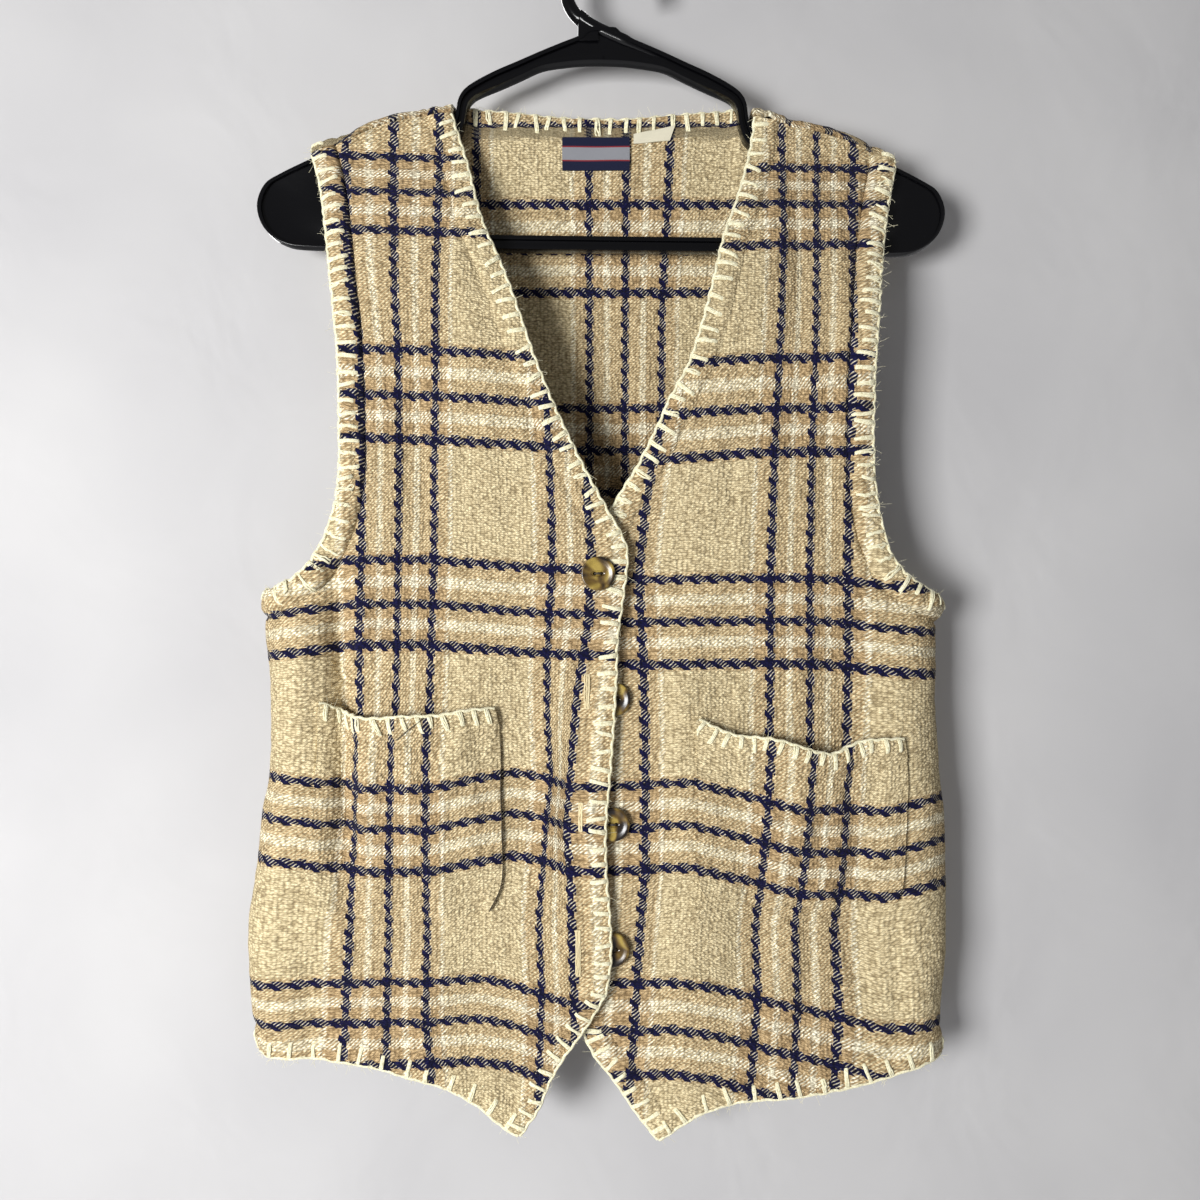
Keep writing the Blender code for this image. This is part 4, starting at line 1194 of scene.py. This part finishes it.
def button_thread(place, seat, rng):
    """The thread that crosses the fish-eye between the two holes, in three passes"""
    face = seat - BUTTON_THICK + 0.4
    return [[Vector((place.x + t * HOLE_PITCH / 2,
                     face - 0.55 * (1 - t * t) + 0.9 * abs(t) ** 3,
                     place.z + shift * (1 - 0.3 * abs(t)) + rng.uniform(-0.1, 0.1)))
             for t in (-1.0, -0.7, -0.35, 0.0, 0.35, 0.7, 1.0)] for shift in (-0.35, 0.1, 0.5)]


def stray_hairs(cords, rng, count):
    """Fibres that stand off the brushed yarn"""
    rows = []
    for _ in range(count):
        cord = cords[rng.randrange(len(cords))]
        root = cord[rng.randrange(len(cord))]
        way = Vector((rng.gauss(0, 1), rng.gauss(0, 0.6), rng.gauss(0, 1))).normalized()
        turn = Vector((rng.gauss(0, 1), rng.gauss(0, 0.5), rng.gauss(0, 1))).normalized()
        reach = rng.uniform(2.0, 5.5)
        rows.append([root + way * (reach * t) + turn * (reach * 0.5 * t * t)
                     for t in (0, 0.3, 0.65, 1.0)])
    return rows


def stage():
    """A pale floor, and the pale sheet behind the vest, which is seen from its front only"""
    bpy.ops.mesh.primitive_plane_add(size=12, location=(0, 0, -1.25))
    floor = bpy.context.object
    floor.name = "floor"
    paint, _ = new_look("pale_floor")
    floor.data.materials.append(shaded(paint, {"Base Color": colour("#BCBCBE"), "Roughness": 0.8}))
    bpy.ops.mesh.primitive_plane_add(size=12, location=(0, 0.029, -0.4),
                                     rotation=(math.pi / 2, 0, 0))
    sheet = bpy.context.object
    sheet.name = "backdrop_sheet"
    bpy.ops.object.transform_apply(location=True, rotation=True, scale=True)
    paint, tree = new_look("backdrop_sheet")
    tint = ramp_of(tree, grain(tree, Scale=5.0, Detail=2.0),
                   [(0.3, colour("#AEADAE")), (0.7, colour("#B9B8B8"))])
    ripple = grain(tree, Scale=9.0, Detail=3.0, Distortion=0.6)
    shaded(paint, {"Base Color": tint, "Roughness": 0.9}, ripple, 0.25, 12)
    behind = add(tree, "ShaderNodeNewGeometry").outputs["Backfacing"]
    clear = add(tree, "ShaderNodeBsdfTransparent").outputs[0]
    cotton = tree.nodes["Principled BSDF"].outputs[0]
    either = add(tree, "ShaderNodeMixShader", {0: behind, 1: cotton, 2: clear})
    fill(tree, tree.nodes["Material Output"], {"Surface": either.outputs[0]})
    sheet.data.materials.append(paint)
    if sheet.data.polygons[0].normal.y > 0:
        sheet.data.flip_normals()
    for ray in ("diffuse", "glossy", "transmission", "shadow"):
        setattr(sheet, f"visible_{ray}", False)


def lights():
    """A soft key from the upper left, a weak fill, one lamp behind for the back, and a pale sky"""
    bpy.context.scene.view_settings.view_transform = "Standard"
    world = bpy.data.worlds.new("studio")
    bpy.context.scene.world = world
    world.use_nodes = True
    sky = world.node_tree.nodes["Background"]
    sky.inputs[0].default_value = colour("#E2E2E4")
    sky.inputs[1].default_value = 0.27
    aim = Vector((0, 0, -0.4))
    for name, place, size, energy in (
        ("key", (-0.9, -1.28, -0.5), 0.55, 35.5),
        ("fill", (1.3, -1.1, -0.3), 1.4, 2.0),
        ("rear", (-0.5, 1.6, 0.7), 1.2, 32.0),
    ):
        lamp = bpy.data.lights.new(name, "AREA")
        lamp.size = size
        lamp.energy = energy
        made = bpy.data.objects.new(name, lamp)
        made.location = place
        made.rotation_euler = (aim - Vector(place)).to_track_quat("-Z", "Y").to_euler()
        bpy.context.scene.collection.objects.link(made)


def camera():
    """At the photograph's place: level with the chest, 0.6 m from the hanger's plane"""
    lens = bpy.data.cameras.new("view")
    lens.lens = 28.56
    lens.sensor_width = 36.0
    made = bpy.data.objects.new("view", lens)
    made.location = (-0.0019, -0.6, -0.4028)
    made.rotation_euler = (math.pi / 2, 0, 0)
    bpy.context.scene.collection.objects.link(made)
    bpy.context.scene.camera = made


def sew(cloth, runs, rng):
    """The blanket stitch along the given runs of a piece's edge: its legs and its cords"""
    legs, cords = [], []
    for run in runs:
        more, cord = blanket_stitch(cloth, rng, *run)
        legs += more
        cords.append(cord)
    return legs, cords


def build():
    rng = random.Random(7)
    cloth = homespun()
    yarn = yarn_look()
    plastic = styrene()
    resin = tortoise()
    fine_thread = thread_look("buttonhole_thread", "#D8C9A0")
    dark_thread = thread_look("dark_thread", "#3A3226")
    check_right = (WARP_RIGHT, groups(WEFT_RIGHT, SAG_RIGHT))
    check_left = (WARP_LEFT, groups(WEFT_LEFT, SAG_LEFT))
    right = front_panel("front_right", -1, ARMHOLE_RIGHT, SIDE_RIGHT, V_RIGHT, POINT_RIGHT,
                        HEM_RIGHT, 1.0, *check_right, cloth)
    left = front_panel("front_left", 1, ARMHOLE_LEFT, SIDE_LEFT, V_LEFT, POINT_LEFT,
                       HEM_LEFT, -1.0, *check_left, cloth)
    back = back_panel(cloth)
    pocket_right = pocket("pocket_right", POCKET_RIGHT_MOUTH, POCKET_RIGHT_OUTER,
                          POCKET_RIGHT_INNER, POCKET_RIGHT_FOOT, right, *check_right, cloth)
    pocket_left = pocket("pocket_left", POCKET_LEFT_MOUTH, POCKET_LEFT_OUTER,
                         POCKET_LEFT_INNER, POCKET_LEFT_FOOT, left, *check_left, cloth)

    half = GRID // 2 + 1
    neck = np.nonzero(np.abs(back.points[0, :, 0]) < NECK_X - 8)[0]
    runs = [(front, [(front.points[:half, 0], STITCH_PITCH * 0.9, STITCH_LEG * 1.1),
                     (front.points[:, -1], STITCH_PITCH), (front.points[-1], HEM_PITCH)])
            for front in (right, left)]
    runs.append((back, [(back.points[:half, 0], STITCH_PITCH), (back.points[:half, -1], STITCH_PITCH),
                        (back.points[0, neck[0]: neck[-1] + 1], STITCH_PITCH),
                        (back.points[-1], HEM_PITCH)]))
    runs += [(patch, [(patch.points[0], STITCH_PITCH * 0.85, STITCH_LEG * 0.85, (1,), slant)])
             for patch, slant in ((pocket_right, 0.25), (pocket_left, -0.1))]
    sewing = {piece.name: sew(piece, edges, rng) for piece, edges in runs}
    pieces = {}
    for name, (legs, cords) in sewing.items():
        stitches = strands_mesh(f"stitches_{name}", legs, YARN_RADIUS, yarn)
        edging = strands_mesh(f"edging_{name}", cords, CORD_RADIUS, yarn)
        count = int(sum(len(cord) for cord in cords) * HAIRS_PER_POINT)
        hairs = strands_mesh(f"hairs_{name}", stray_hairs(cords, rng, count), HAIR_RADIUS, yarn)
        pieces[name] = [stitches, edging, hairs]

    holes = [row for hole in BUTTONHOLES for row in buttonhole(right, *hole, rng)]
    pieces["front_right"].append(strands_mesh("buttonholes", holes, OVERCAST_RADIUS, fine_thread))
    # A dark thread laid along the pocket's inner edge as painted shadow: it darkens the gap between
    # pocket and front
    seam = [Vector(p) + Vector((0.3, -0.6, 0)) for p in pocket_right.points[::2, -1]]
    pieces["pocket_right"].append(strands_mesh("pocket_edge_shadow_thread", [seam], EDGE_SHADOW_THREAD_RADIUS,
                                               dark_thread))
    for number, place in enumerate(BUTTONS, start=1):
        seat = button(f"button_{number}", place, resin)
        strands_mesh(f"thread_{number}", button_thread(place, seat, rng), THREAD_RADIUS, dark_thread)
    loose = [pocket_right.skin(Vector((x, -40, z)), 1, WALL / 2 + 1.4) for x, z in LOOSE_END]
    pieces["pocket_right"].append(strands_mesh("loose_end", [smooth(loose)], THREAD_RADIUS,
                                               dark_thread))
    name_tag = label("label_neck", NAME_TAG, woven_label(), "woven_label", "neck_label")
    care = label("label_care", CARE_TAG, care_tape(), "care_tape", "care_label")
    hanger(plastic)
    hook(plastic)


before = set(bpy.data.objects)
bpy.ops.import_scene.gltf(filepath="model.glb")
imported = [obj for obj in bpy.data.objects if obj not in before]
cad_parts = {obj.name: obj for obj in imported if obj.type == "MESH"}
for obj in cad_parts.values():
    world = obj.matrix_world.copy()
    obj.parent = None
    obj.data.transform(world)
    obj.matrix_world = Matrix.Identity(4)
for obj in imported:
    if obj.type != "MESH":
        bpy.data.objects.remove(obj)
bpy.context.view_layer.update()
camera()
stage()
lights()
build()
